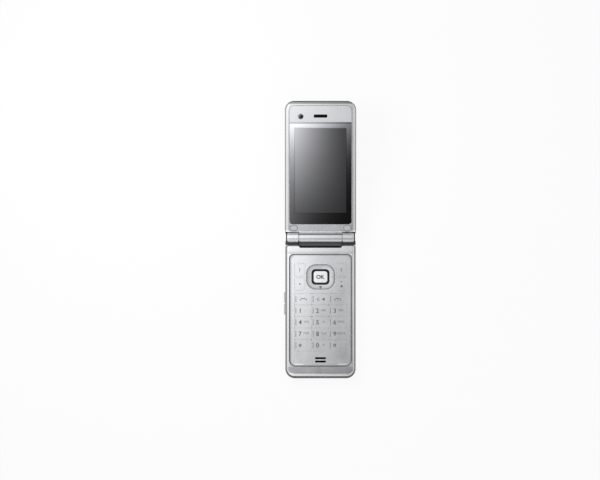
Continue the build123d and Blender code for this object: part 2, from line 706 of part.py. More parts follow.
# ---- Base: keypad ----
def grid_places():
    """Name, x and distance of each key of the grid."""
    places = []
    for row, names in enumerate(KEY_GRID):
        for column, name in enumerate(names):
            places.append((name, (column - 1) * COLUMN_PITCH, FIRST_ROW + row * ROW_PITCH))
    return places


def side_places():
    """Name, x and distance of the four keys beside the ring."""
    return [(name, across * SIDE_KEY_X, NAV_CENTRE + down * SIDE_KEY_PITCH / 2)
            for name, across, down in SIDE_KEYS]


def grid_opening(grow, low, high):
    rows = len(KEY_GRID)
    middle = FIRST_ROW + (rows - 1) * ROW_PITCH / 2
    width = len(KEY_GRID[0]) * COLUMN_PITCH - KEY_GAP + 2 * grow
    length = rows * ROW_PITCH - KEY_GAP + 2 * grow
    return pill(BASE, 0, middle, width, length, KEY_CORNER + grow, low, high)


def keypad_plate():
    plate = plate_shape(0, LEDGE_TOP, PLATE_TOP)
    plate = fillet(top_edges(plate), PLATE_EDGE)
    plate -= grid_opening(FIT, 0, BEYOND)
    plate -= pill(BASE, 0, NAV_CENTRE, NAV_WIDTH + 2 * NAV_GAP, NAV_LENGTH + 2 * NAV_GAP,
                  NAV_CORNER + NAV_GAP, 0, BEYOND)
    for _, x, distance in side_places():
        plate -= pill(BASE, x, distance, SIDE_KEY_WIDTH + 2 * FIT, SIDE_KEY_LENGTH + 2 * FIT,
                      SIDE_KEY_CORNER + FIT, 0, BEYOND)
    for slot in range(2):
        plate -= block(BASE, 0, SLOT_START + slot * SLOT_PITCH, SLOT_LENGTH, SLOT_HEIGHT,
                       0, BEYOND)
    return plate


def key_cap(x, distance, width, length, corner, top):
    cap = pill(BASE, x, distance, width, length, corner, KEY_LOW, top)
    return chamfer(top_edges(cap), KEY_EDGE)


def grid_key(x, distance):
    """A flat key with a short raised rib beside its legend."""
    cap = key_cap(x, distance, COLUMN_PITCH - KEY_GAP, ROW_PITCH - KEY_GAP, KEY_CORNER, KEY_TOP)
    rib_x = x - COLUMN_PITCH / 2 + RIB_INSET
    rib = block(BASE, rib_x, distance, RIB_WIDTH, RIB_LENGTH, KEY_TOP - SLIP, KEY_TOP + RIB_HEIGHT)
    return cap + rib


def side_key(x, distance):
    return key_cap(x, distance, SIDE_KEY_WIDTH, SIDE_KEY_LENGTH, SIDE_KEY_CORNER, KEY_TOP)


def nav_ring():
    ring = pill(BASE, 0, NAV_CENTRE, NAV_WIDTH, NAV_LENGTH, NAV_CORNER,
                KEY_LOW, BASE_HEIGHT + NAV_PROUD)
    ring = chamfer(top_edges(ring), NAV_EDGE)
    return ring - ok_opening()


def ok_opening():
    """Room for the centre key inside the ring."""
    return pill(BASE, 0, NAV_CENTRE, OK_WIDTH + 2 * NAV_GAP, OK_LENGTH + 2 * NAV_GAP,
                OK_CORNER + NAV_GAP, 0, BEYOND)


def nav_pad():
    """Rubber pad that the ring rocks on, open under the centre key."""
    top = KEY_LOW - PAD_GAP
    pad = pill(BASE, 0, NAV_CENTRE, NAV_WIDTH, NAV_LENGTH, NAV_CORNER, top - PAD_THICKNESS, top)
    return pad - ok_opening()


def ok_key():
    """Centre key: a dark border, a raised cap and a stem."""
    rise = BASE_HEIGHT + OK_PROUD
    key = key_cap(0, NAV_CENTRE, OK_WIDTH, OK_LENGTH, OK_CORNER, rise)
    key += pill(BASE, 0, NAV_CENTRE, OK_WIDTH - 2 * OK_CAP_INSET, OK_LENGTH - 2 * OK_CAP_INSET,
                OK_CORNER - OK_CAP_INSET / 2, rise - SLIP, rise + OK_CAP_RISE)
    stem_low = DOME_LOW + DOME_HEIGHT + TRAVEL + SLIP
    return key + disc(BASE, 0, NAV_CENTRE, PLUNGER_R, stem_low, KEY_LOW)


def nav_dome_places():
    return ((0, NAV_CENTRE), (NAV_DOME_X, NAV_CENTRE), (-NAV_DOME_X, NAV_CENTRE),
            (0, NAV_CENTRE - NAV_DOME_Y), (0, NAV_CENTRE + NAV_DOME_Y))


def key_centres():
    return [(x, distance) for _, x, distance in grid_places() + side_places()]


def keypad_mat():
    """Silicone sheet under the keys, with a plunger below each and a lip round it."""
    width = PLATE_WIDTH - 2 * LEDGE_WIDTH + 2 * MAT_MARGIN
    mat = run(BASE, 0, MAT_START, MAT_END, width, MAT_LOW, ROOF - SLIP)
    mat -= run(BASE, 0, MAT_START + MAT_LIP, MAT_END - MAT_LIP, width - 2 * MAT_LIP,
               MAT_TOP, BEYOND)
    mat -= pill(BASE, 0, NAV_CENTRE, NAV_WIDTH + 2 * PAD_MARGIN, NAV_LENGTH + 2 * PAD_MARGIN,
                NAV_CORNER + PAD_MARGIN, 0, BEYOND)
    for x, distance in key_centres():
        mat += disc(BASE, x, distance, PLUNGER_R, MAT_LOW - PLUNGER_LENGTH, MAT_LOW)
    return mat


def dome_sheet():
    """Film with a snap dome under each key."""
    film = run(BASE, 0, MAT_START + MAT_LIP, MAT_END - MAT_LIP,
               PLATE_WIDTH - 2 * LEDGE_WIDTH - 2 * MAT_LIP, FILM_LOW, DOME_LOW)
    dome = Cone(DOME_R, DOME_TOP_R, DOME_HEIGHT, align=MIDDLE)
    for x, distance in list(nav_dome_places()) + key_centres():
        film += Pos(x, -distance, DOME_LOW) * dome
    return film


# ---- Base: electronics ----
def main_board():
    half = INNER_HALF - BOARD_MARGIN
    board = half_plate(BASE, 2 * half, BOARD_START, REACH - BOARD_END_MARGIN - WALL,
                       BOARD_LOW, BOARD_TOP, BOARD_CORNER, 0)
    for x, distance in screw_places():
        board -= disc(BASE, x, distance, BOSS_R + BOSS_CLEAR, 0, BEYOND)
    return board


def can(x, start, width, length, low, high, opens_up):
    """A stamped metal lid over part of the board."""
    shell = run(BASE, x, start, start + length, width, low, high)
    inner_low = low + (0 if not opens_up else CAN_WALL)
    inner_high = high - (CAN_WALL if not opens_up else 0)
    return shell - run(BASE, x, start + CAN_WALL, start + length - CAN_WALL,
                       width - 2 * CAN_WALL, inner_low, inner_high)


def shield_cans():
    upper = can(TOP_CAN_X, TOP_CAN_START, TOP_CAN_WIDTH, TOP_CAN_LENGTH,
                BOARD_TOP, BOARD_TOP + CAN_HEIGHT, False)
    lower = can(LOWER_CAN_X, LOWER_CAN_START, LOWER_CAN_WIDTH, LOWER_CAN_LENGTH,
                BOARD_LOW - CAN_HEIGHT, BOARD_LOW, True)
    return group([upper, lower])


def sim_holder():
    """Open-fronted pocket for the card, under the board."""
    low = BOARD_LOW - SIM_HEIGHT
    end = SIM_START + SIM_LENGTH
    holder = run(BASE, SIM_X, SIM_START, end, SIM_WIDTH, low, BOARD_LOW)
    holder -= run(BASE, SIM_X, SIM_START + SIM_WALL, BEYOND, SIM_WIDTH - 2 * SIM_WALL,
                  low, BOARD_LOW - SIM_ROOF)
    rail = run(BASE, SIM_X, end - SIM_RAIL, end, SIM_WIDTH, low, low + SIM_ROOF)
    return holder + rail


def battery():
    pack = run(BASE, 0, BATTERY_START, BATTERY_END, BATTERY_WIDTH, BATTERY_LOW, BATTERY_TOP)
    return fillet(pack.edges().filter_by(Axis.Y), BATTERY_CORNER)


def battery_contacts():
    """Terminal block with its spring tips against the battery."""
    tip_end = BATTERY_START - CONTACT_GAP
    end = tip_end - CONTACT_TIP
    parts = run(BASE, CONTACT_X, end - CONTACT_LENGTH, end, CONTACT_WIDTH,
                BOARD_LOW - CONTACT_HEIGHT, BOARD_LOW)
    for contact in range(CONTACT_COUNT):
        x = CONTACT_X + (contact - (CONTACT_COUNT - 1) / 2) * CONTACT_PITCH
        middle = BOARD_LOW - CONTACT_HEIGHT / 2
        parts += run(BASE, x, end - CONTACT_TIP, tip_end, CONTACT_PITCH / 2,
                     middle - CONTACT_BLADE / 2, middle + CONTACT_BLADE / 2)
    return parts


def charge_socket():
    """Metal shell with an open mouth and a contact tongue."""
    outer_x = INNER_HALF - SLIP
    middle_x = outer_x - SOCKET_DEPTH / 2
    middle_z = SOCKET_LOW + SOCKET_HEIGHT / 2
    socket = block(BASE, middle_x, SOCKET_CENTRE, SOCKET_DEPTH, SOCKET_LENGTH,
                   SOCKET_LOW, BOARD_LOW)
    socket -= block(BASE, outer_x, SOCKET_CENTRE, 2 * SOCKET_MOUTH,
                    SOCKET_LENGTH - 2 * SOCKET_WALL, SOCKET_LOW + SOCKET_WALL,
                    BOARD_LOW - SOCKET_WALL)
    return socket + block(BASE, middle_x, SOCKET_CENTRE, SOCKET_DEPTH - 2 * SOCKET_WALL,
                          SOCKET_LENGTH - 4 * SOCKET_WALL, middle_z - SOCKET_TONGUE / 2,
                          middle_z + SOCKET_TONGUE / 2)


def port_cover():
    """Flap flush with the right side, hinged at its lower end."""
    middle_x = (BASE_WIDTH - PORT_COVER_T) / 2
    return block(BASE, middle_x, SOCKET_CENTRE, PORT_COVER_T, PORT_COVER_LENGTH,
                 PORT_COVER_Z - PORT_COVER_HEIGHT / 2, PORT_COVER_Z + PORT_COVER_HEIGHT / 2)


def mic_centre():
    return SLOT_START + SLOT_PITCH / 2


def microphone():
    """Capsule in a rubber boot that seals against the keypad plate."""
    distance = mic_centre()
    capsule_top = BOARD_TOP + MIC_HEIGHT
    boot = pill(BASE, 0, distance, BOOT_WIDTH, BOOT_LENGTH, BOOT_CORNER,
                BOARD_TOP, LEDGE_TOP - SLIP)
    boot -= pill(BASE, 0, distance, BOOT_WIDTH - 2 * BOOT_WALL, BOOT_LENGTH - 2 * BOOT_WALL,
                 BOOT_CORNER - BOOT_WALL / 2, capsule_top, BEYOND)
    boot -= disc(BASE, 0, distance, MIC_R + SLIP, 0, BEYOND)
    capsule = disc(BASE, 0, distance, MIC_R, BOARD_TOP, capsule_top)
    return group([boot, capsule])


def loudspeaker():
    """Oval speaker facing the slots in the back."""
    speaker = pill(BASE, SPEAKER_X, BAY_PARTS, SPEAKER_WIDTH, SPEAKER_LENGTH, SPEAKER_CORNER,
                   FLOOR, FLOOR + SPEAKER_HEIGHT)
    return speaker - pill(BASE, SPEAKER_X, BAY_PARTS, SPEAKER_WIDTH - 2 * WALL,
                          SPEAKER_LENGTH - 2 * WALL, SPEAKER_CORNER - WALL, 0,
                          FLOOR + SPEAKER_CONE)


def vibration_motor():
    return disc(BASE, MOTOR_X, BAY_PARTS, MOTOR_R, FLOOR, FLOOR + MOTOR_HEIGHT)


def rear_camera():
    """Camera block on the board, its barrel down to the window."""
    camera = block(BASE, 0, BAY_PARTS, CAMERA_SIZE, CAMERA_SIZE, CAMERA_LOW, BOARD_LOW)
    window_top = CAMERA_WINDOW_SINK + CAMERA_WINDOW_T
    return camera + disc(BASE, 0, BAY_PARTS, CAMERA_BARREL_R, window_top + SLIP, CAMERA_LOW)


def rear_camera_window():
    return disc(BASE, 0, BAY_PARTS, CAMERA_WINDOW_R, CAMERA_WINDOW_SINK,
                CAMERA_WINDOW_SINK + CAMERA_WINDOW_T)


def antenna():
    """Carrier frame with its radiator, across the bottom end."""
    low = COVER_SEAT + COVER_RIM + SLIP
    end = ANTENNA_START + ANTENNA_LENGTH
    frame = run(BASE, 0, ANTENNA_START, end, ANTENNA_WIDTH, low, BOARD_LOW)
    inner = run(BASE, 0, ANTENNA_START + ANTENNA_WALL, end - ANTENNA_WALL,
                ANTENNA_WIDTH - 2 * ANTENNA_WALL, low, BOARD_LOW - ANTENNA_WALL)
    return frame - inner


def volume_inner_x():
    """Inner face of the rocker's flange."""
    return -INNER_HALF + VOLUME_WALL_GAP + VOLUME_FLANGE


def volume_key():
    """Rocker with two bumps outside and a flange inside the wall."""
    outer_x = -BASE_WIDTH / 2 - VOLUME_PROUD
    inner_x = volume_inner_x()
    low = VOLUME_Z - VOLUME_HEIGHT / 2
    high = VOLUME_Z + VOLUME_HEIGHT / 2
    bar = block(BASE, (outer_x + inner_x) / 2, VOLUME_CENTRE, inner_x - outer_x,
                VOLUME_LENGTH, low, high)
    for end in (-1, 1):
        middle = VOLUME_CENTRE + end * BUMP_PITCH / 2
        bump = block(BASE, outer_x, middle, 2 * BUMP_PROUD, BUMP_LENGTH, low, high)
        edges = bump.faces().sort_by(Axis.X)[0].edges()
        bar += fillet(edges, BUMP_EDGE)
    flange = block(BASE, inner_x - VOLUME_FLANGE / 2, VOLUME_CENTRE, VOLUME_FLANGE,
                   VOLUME_LENGTH + 2 * VOLUME_FLANGE_MARGIN, low - VOLUME_FLANGE_TOP,
                   high + VOLUME_FLANGE_TOP)
    return bar + flange


def volume_switch():
    """Small upright board with two push switches, on the main board's edge."""
    board_x = -INNER_HALF + BOARD_MARGIN - SLIP - VOLUME_BOARD_T / 2
    low = VOLUME_Z - VOLUME_HEIGHT / 2
    high = VOLUME_Z + VOLUME_HEIGHT / 2
    board = block(BASE, board_x, VOLUME_CENTRE, VOLUME_BOARD_T, VOLUME_LENGTH, low, high)
    for end in (-1, 1):
        middle = VOLUME_CENTRE + end * BUMP_PITCH / 2
        plunger_x = board_x - VOLUME_BOARD_T / 2 - VOLUME_PLUNGER / 2
        board += block(BASE, plunger_x, middle, VOLUME_PLUNGER, BUMP_LENGTH / 2, low, high)
    return board


# ---- Hinge ----
def hinge_cartridge():
    """Spring and cam unit in the left knuckle, its shaft end in the centre barrel."""
    inner = CARTRIDGE_REACH - BARREL_HALF
    body = shaft(SHAFT_END_GAP - KNUCKLE_END, inner, CARTRIDGE_R, HINGE_Z)
    return body + shaft(inner, inner + SHAFT_REACH, SHAFT_R, HINGE_Z)


def hinge_bush():
    """Hollow bush in the right knuckle, which the hinge cable passes through."""
    start = BARREL_HALF - CARTRIDGE_REACH
    end = KNUCKLE_END - SHAFT_END_GAP
    bush = shaft(start, end, CARTRIDGE_R, HINGE_Z)
    return bush - shaft(start, end, CARTRIDGE_R - BUSH_WALL, HINGE_Z)


def hinge_caps():
    cap = shaft(KNUCKLE_END, KNUCKLE_END + CAP_THICKNESS, BARREL_R - CAP_SETBACK, HINGE_Z)
    rim = cap.faces().sort_by(Axis.X)[-1].edges()
    cap = chamfer(rim, CAP_EDGE)
    return both(cap)


def hinge_flex():
    """Flexible cable: a roll in the barrel, a drop through the neck, a run under the display."""
    low = TRAY_TOP + SLIP
    high = low + FLEX_THICKNESS
    left = SHAFT_REACH + CARTRIDGE_REACH - BARREL_HALF + FLEX_ROLL_R
    roll = shaft(left, KNUCKLE_END - CAP_THICKNESS, FLEX_ROLL_R, 0)
    drop = run(LID, 0, FLEX_DROP - FLEX_THICKNESS, FLEX_DROP, FLEX_WIDTH, low, -FLEX_ROLL_R / 2)
    strip = run(LID, 0, FLEX_DROP - FLEX_THICKNESS, LID_BOARD_START - SLIP, FLEX_WIDTH, low, high)
    return roll + drop + strip


# ---- Lid ----
def lid_blank(width, near, far, low, high, corner, near_corner):
    return half_plate(LID, width, near, far, low, high, corner, near_corner)


def hinge_room():
    """Space that the lid leaves around barrel and knuckles."""
    return shaft(-BEYOND, BEYOND, CLEAR_R, 0)


def lid_frame():
    """Rim, tray and centre barrel: the lid's load-bearing piece."""
    rim = lid_blank(LID_WIDTH, CHIN_START, REACH, SEAM, FACE, LID_CORNER, CHIN_CORNER)
    rim = fillet(top_edges(rim), min(LID_RIM_EDGE, CHIN_CORNER))
    tray_corner = LID_CORNER - TRAY_MARGIN
    tray = lid_blank(TRAY_WIDTH, TRAY_START, REACH - TRAY_MARGIN, TRAY_LOW, SEAM, tray_corner, 0)
    frame = rim + tray - hinge_room()
    neck = run(LID, 0, 0, CHIN_START + LID_RIM_EDGE, 2 * BARREL_HALF, TRAY_LOW, FACE - NECK_DROP)
    frame += neck + centre_barrel()
    frame -= shaft(-BARREL_HALF, BARREL_HALF, BORE_R, 0)
    frame -= lid_blank(BEZEL_WIDTH + 2 * FIT, BEZEL_START - FIT, BEZEL_END + FIT,
                       BEZEL_LOW, BEYOND, BEZEL_CORNER + FIT, BEZEL_HINGE_CORNER + FIT)
    frame = bevel_opening(frame, FACE, BEZEL_GROOVE)
    bay_end = REACH - TRAY_MARGIN - TRAY_WALL
    frame -= lid_blank(TRAY_WIDTH - 2 * TRAY_WALL, DISPLAY_BAY_START, bay_end, TRAY_TOP, BEYOND,
                       tray_corner - TRAY_WALL, 0)
    for end in (-1, 1):
        frame -= disc(LID, end * BUMPER_X, BUMPER_Y, SCREW_R + PILOT_CLEAR,
                      TRAY_TOP, BEYOND)
    return frame - flex_slot()


def flex_slot():
    """Way for the cable from the barrel through the neck to the display bay."""
    width = FLEX_WIDTH + 2 * FLEX_ROOM
    floor = run(LID, 0, FLEX_DROP - FLEX_ROOM, DISPLAY_BAY_START, width, TRAY_TOP,
                TRAY_TOP + FLEX_ROOM)
    drop = run(LID, 0, FLEX_DROP - FLEX_ROOM, FLEX_DROP + FLEX_ROOM, width, TRAY_TOP, 0)
    return floor + drop


def lid_cover():
    """Glossy outer skin, crowned along its sides and free end."""
    tuck = COVER_CROWN - sqrt(COVER_CROWN ** 2 - (COVER_CROWN - COVER_DEPTH) ** 2)
    end = REACH - COVER_SETBACK
    run_out = COVER_LIP + 2 * COVER_CROWN
    blank = lid_blank(COVER_WIDTH + 2 * tuck, -run_out, end + tuck, OUTER,
                      OUTER + COVER_CROWN + COVER_SKIN, LID_CORNER + tuck, 0)
    crowned = [edge for edge in low_edges(blank) if edge.center().Y > SLIP - run_out]
    blank = fillet(crowned, COVER_CROWN)
    blank &= run(LID, 0, -COVER_LIP, BEYOND, BEYOND, OUTER, SEAM)
    lip_face = blank.faces().sort_by(Axis.Y)[0]
    lip_edges = [edge for edge in lip_face.edges() if edge.center().Z < SEAM]
    blank = fillet(lip_edges, COVER_LIP_EDGE)
    cover = blank & lid_blank(COVER_WIDTH + 2 * SLIP, -COVER_LIP - SLIP, end + SLIP,
                              OUTER - SLIP, SEAM + SLIP, LID_CORNER, COVER_HINGE_CORNER)
    cover -= hinge_room()
    return cover - lid_blank(TRAY_WIDTH + 2 * SLIP, COVER_LIP_WALL - COVER_LIP,
                             REACH - TRAY_MARGIN + SLIP, OUTER + COVER_SKIN, SEAM,
                             LID_CORNER - TRAY_MARGIN + SLIP, 0)


def bumper_shape(x, grow, low, high):
    return pill(LID, x, BUMPER_Y, BUMPER_WIDTH + 2 * grow, BUMPER_LENGTH + 2 * grow,
                BUMPER_CORNER + grow, low, high)


def lid_bezel():
    """Inner panel around the display window."""
    bezel = lid_blank(BEZEL_WIDTH, BEZEL_START, BEZEL_END, BEZEL_LOW, FACE, BEZEL_CORNER,
                      BEZEL_HINGE_CORNER)
    bezel = chamfer(top_edges(bezel), BEZEL_EDGE)
    bezel -= window_shape(FIT / 2, WINDOW_LOW, BEYOND)
    bezel -= run(LID, 0, ACTIVE_START - FIT, ACTIVE_END + FIT, ACTIVE_WIDTH + 2 * FIT,
                 BEZEL_LOW, BEYOND)
    seat = FACE - LENS_SINK - LENS_THICKNESS
    bezel -= disc(LID, LENS_X, LENS_Y, LENS_R + SLIP, seat, BEYOND)
    bezel -= disc(LID, LENS_X, LENS_Y, FRONT_CAMERA_BARREL_R + FIT, BEZEL_LOW, BEYOND)
    bezel -= pill(LID, 0, EAR_Y, EAR_LENGTH, EAR_HEIGHT, EAR_LEDGE, FACE - EAR_SEAT, BEYOND)
    bezel -= block(LID, 0, EAR_Y, EAR_LENGTH - 2 * EAR_LEDGE, EAR_HEIGHT - 2 * EAR_LEDGE,
                   BEZEL_LOW, BEYOND)
    bumper_seat = FACE - BUMPER_SEAT
    for end in (-1, 1):
        x = end * BUMPER_X
        bezel -= bumper_shape(x, FIT, bumper_seat, BEYOND)
        head_seat = bumper_seat - SCREW_HEAD - 2 * SLIP
        bezel -= disc(LID, x, BUMPER_Y, SCREW_HEAD_R + FIT, head_seat, BEYOND)
        bezel -= disc(LID, x, BUMPER_Y, SCREW_R + FIT, BEZEL_LOW, BEYOND)
    return bezel


def window_shape(grow, low, high):
    return lid_blank(WINDOW_WIDTH + 2 * grow, WINDOW_START - grow, WINDOW_END + grow, low, high,
                     WINDOW_END_CORNER + grow, WINDOW_CORNER + grow)


def display_window():
    return window_shape(0, WINDOW_LOW, WINDOW_TOP)


def display_panel():
    """Display module: backlight tray with the glass cell on it."""
    start = ACTIVE_START - DISPLAY_FOOT
    end = ACTIVE_END + DISPLAY_HEAD
    width = ACTIVE_WIDTH + 2 * DISPLAY_SIDE
    tray = run(LID, 0, start, end, width, DISPLAY_LOW, DISPLAY_TOP - DISPLAY_GLASS)
    glass = run(LID, 0, start + DISPLAY_GLASS_STEP, end - DISPLAY_GLASS_STEP,
                width - 2 * DISPLAY_GLASS_STEP, DISPLAY_TOP - DISPLAY_GLASS, DISPLAY_TOP)
    return tray + glass


def front_camera_lens():
    top = FACE - LENS_SINK
    lens = disc(LID, LENS_X, LENS_Y, LENS_R, top - LENS_THICKNESS, top)
    return chamfer(top_edges(lens), LENS_EDGE)


def lid_board_top():
    return TRAY_TOP + SLIP + LID_BOARD_THICKNESS


def front_camera():
    camera = block(LID, LENS_X, LENS_Y, FRONT_CAMERA_SIZE, FRONT_CAMERA_SIZE,
                   lid_board_top(), BEZEL_LOW - SLIP)
    top = FACE - LENS_SINK - LENS_THICKNESS - SLIP
    return camera + disc(LID, LENS_X, LENS_Y, FRONT_CAMERA_BARREL_R, BEZEL_LOW - SLIP, top)


def earpiece():
    """Small speaker behind the listening slot."""
    return pill(LID, 0, EAR_Y, EARPIECE_WIDTH, EARPIECE_LENGTH, EARPIECE_CORNER,
                lid_board_top(), BEZEL_LOW - SLIP)


def earpiece_grille():
    low = FACE - EAR_SEAT
    return pill(LID, 0, EAR_Y, EAR_LENGTH - 2 * SLIP, EAR_HEIGHT - 2 * SLIP, EAR_LEDGE,
                low, low + EAR_MESH)


def lid_board():
    low = TRAY_TOP + SLIP
    return run(LID, 0, LID_BOARD_START, LID_BOARD_START + LID_BOARD_LENGTH, LID_BOARD_WIDTH,
               low, low + LID_BOARD_THICKNESS)


def lid_bumpers():
    """Two soft plugs that cover the lid screws and cushion the closed lid."""
    low = FACE - BUMPER_SEAT
    bumper = bumper_shape(BUMPER_X, 0, low, FACE + BUMPER_PROUD)
    bumper = fillet(top_edges(bumper), BUMPER_EDGE)
    return both(bumper)


def lid_screws():
    head_face = FACE - BUMPER_SEAT - SLIP
    tip = head_face - SCREW_HEAD - LID_SCREW_LENGTH
    pair = [screw(LID, end * BUMPER_X, BUMPER_Y, head_face, max(tip, TRAY_TOP + SLIP), 1)
            for end in (-1, 1)]
    return group(pair)


# ---- Putting the phone together ----
HINGE_Y = REACH / 2
BASE_PLACE = Pos(0, HINGE_Y, 0)
LID_PLACE = Pos(0, HINGE_Y, HINGE_Z) * Rot(OPEN_TILT, 0, 0)

base_pieces = {
    "base_front_shell": base_front_shell(),
    "base_rear_shell": base_rear_shell(),
    "battery_cover": battery_cover(),
    "base_screws": base_screws(),
    "keypad_plate": keypad_plate(),
    "keypad_mat": keypad_mat(),
    "dome_sheet": dome_sheet(),
    "nav_ring": nav_ring(),
    "nav_pad": nav_pad(),
    "ok_key": ok_key(),
    "main_board": main_board(),
    "shield_cans": shield_cans(),
    "sim_holder": sim_holder(),
    "battery": battery(),
    "battery_contacts": battery_contacts(),
    "charge_socket": charge_socket(),
    "port_cover": port_cover(),
    "microphone": microphone(),
    "loudspeaker": loudspeaker(),
    "vibration_motor": vibration_motor(),
    "rear_camera": rear_camera(),
    "rear_camera_window": rear_camera_window(),
    "antenna": antenna(),
    "volume_key": volume_key(),
    "volume_switch": volume_switch(),
    "hinge_cartridge": hinge_cartridge(),
    "hinge_bush": hinge_bush(),
    "hinge_caps": hinge_caps(),
}
for name, x, distance in grid_places():
    base_pieces[name] = grid_key(x, distance)
for name, x, distance in side_places():
    base_pieces[name] = side_key(x, distance)

lid_pieces = {
    "lid_frame": lid_frame(),
    "lid_cover": lid_cover(),
    "lid_bezel": lid_bezel(),
    "display_window": display_window(),
    "display_panel": display_panel(),
    "front_camera_lens": front_camera_lens(),
    "front_camera": front_camera(),
    "earpiece": earpiece(),
    "earpiece_grille": earpiece_grille(),
    "lid_board": lid_board(),
    "lid_bumpers": lid_bumpers(),
    "lid_screws": lid_screws(),
    "hinge_flex": hinge_flex(),
}

os.makedirs("parts", exist_ok=True)
for pieces, place in ((base_pieces, BASE_PLACE), (lid_pieces, LID_PLACE)):
    for name, shape in pieces.items():
        export_step(place * shape, f"parts/{name}.step")
print("nodes", len(base_pieces) + len(lid_pieces))
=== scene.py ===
# %% [markdown]
# # A clamshell phone, open on its back
#
# The phone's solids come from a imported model: shells, keys, hinge and everything inside,
# already at their real size and place. This lesson gives each of them its finish, adds
# what is printed onto it, and lights it. Everything is in metres. X runs across the phone,
# +Y from the keypad through the hinge to the display, and +Z out of the keypad.

# %% Load the phone
import bpy
import bmesh
import json
from math import cos, pi, radians, sin
from mathutils import Matrix, Vector


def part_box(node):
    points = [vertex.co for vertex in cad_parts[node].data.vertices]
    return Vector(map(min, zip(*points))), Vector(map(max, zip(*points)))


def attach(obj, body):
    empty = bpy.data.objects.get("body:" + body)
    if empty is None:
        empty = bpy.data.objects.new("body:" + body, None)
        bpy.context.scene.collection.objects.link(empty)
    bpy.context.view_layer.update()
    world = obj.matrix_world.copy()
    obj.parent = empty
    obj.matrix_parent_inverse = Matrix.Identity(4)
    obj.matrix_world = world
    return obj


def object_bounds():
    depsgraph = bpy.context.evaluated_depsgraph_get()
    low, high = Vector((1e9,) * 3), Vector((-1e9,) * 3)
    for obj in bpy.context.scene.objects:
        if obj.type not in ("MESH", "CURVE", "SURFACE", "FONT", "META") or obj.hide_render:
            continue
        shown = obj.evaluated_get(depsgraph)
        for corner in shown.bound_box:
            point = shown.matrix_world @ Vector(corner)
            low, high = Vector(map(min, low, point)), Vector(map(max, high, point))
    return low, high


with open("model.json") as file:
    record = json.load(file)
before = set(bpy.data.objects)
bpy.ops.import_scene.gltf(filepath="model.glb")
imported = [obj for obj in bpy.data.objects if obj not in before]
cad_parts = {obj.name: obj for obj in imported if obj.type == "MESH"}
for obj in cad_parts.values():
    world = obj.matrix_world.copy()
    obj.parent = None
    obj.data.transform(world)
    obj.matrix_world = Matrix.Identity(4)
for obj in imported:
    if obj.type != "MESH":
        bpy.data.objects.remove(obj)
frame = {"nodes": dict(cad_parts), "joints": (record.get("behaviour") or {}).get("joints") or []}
cad_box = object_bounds()
nodes = frame["nodes"]

# %% [markdown]
# The lid is stored open, tipped up from the level of the base. Places on it are given by
# `u`, the distance from the hinge axis up the display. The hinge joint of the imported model
# gives the axis, so nothing is measured twice.

# %% The lid's own coordinates
MM = 0.001
LID_TILT = radians(16)
hinge = next(joint for joint in frame["joints"] if joint["name"] == "lid_hinge")
AXIS_Y, AXIS_Z = hinge["pos_m"][1:]
print("hinge axis at y", AXIS_Y, "z", AXIS_Z)

# %% [markdown]
# A finish is a small node tree. A short class keeps the later cells readable: `add` makes
# a node and fills its sockets, and a socket's value may be another node's output, which
# is then linked. The rest are the few nodes that are wanted again and again.

# %% Building node trees
class Nodes:
    def __init__(self, tree):
        self.tree = tree

    def plug(self, socket, value):
        if isinstance(value, bpy.types.NodeSocket):
            self.tree.links.new(value, socket)
        else:
            socket.default_value = value

    def add(self, kind, settings=(), **values):
        node = self.tree.nodes.new(kind)
        for key, value in dict(settings).items():
            setattr(node, key, value)
        for key, value in values.items():
            spot = int(key[1:]) if key[0] == "i" and key[1:].isdigit() else key.replace("_", " ")
            self.plug(node.inputs[spot], value)
        return node

    def math(self, operation, first, second=0.0):
        return self.add("ShaderNodeMath", {"operation": operation}, i0=first, i1=second).outputs[0]

    def times(self, *values):
        total = values[0]
        for value in values[1:]:
            total = self.math("MULTIPLY", total, value)
        return total

    def off(self, value, centre=0.0):
        """How far a value is off a centre, to either side."""
        return self.math("ABSOLUTE", self.math("SUBTRACT", value, centre))

    def above(self, value, limit):
        """1 above a limit, else 0."""
        return self.math("GREATER_THAN", value, limit)

    def between(self, value, low, high):
        """1 between two limits, else 0."""
        return self.times(self.above(value, low), self.math("LESS_THAN", value, high))

    def remap(self, value, low, high, to_low, to_high):
        node = self.add("ShaderNodeMapRange", Value=value, From_Min=low, From_Max=high, To_Min=to_low,
                        To_Max=to_high)
        return node.outputs["Result"]

    def rise(self, value, low, high):
        """0 at one limit to 1 at the other."""
        return self.remap(value, low, high, 0.0, 1.0)

    def blend(self, factor, first, second, mode="MIX"):
        node = self.add("ShaderNodeMix", {"data_type": "RGBA", "blend_type": mode}, i0=factor,
                        i6=first, i7=second)
        return node.outputs[2]

    def ramp(self, factor, stops):
        """Colours along a factor: stops are (place, colour)."""
        node = self.add("ShaderNodeValToRGB", i0=factor)
        line = node.color_ramp
        while len(line.elements) < len(stops):
            line.elements.new(0.5)
        for element, (place, colour) in zip(line.elements, stops):
            element.position = place
            element.color = colour
        return node.outputs["Color"]


print("nodes ready")

# %% [markdown]
# Every material starts from the same bench: the Principled shader, with the piece's own
# coordinates running into it. They are in metres and stay with the piece, so a grain of
# 0.1 mm is a scale of 10000, and the pattern doesn't slide when the lid swings.

# %% A bench for building finishes
GRAIN_DEPTH = 0.01 * MM


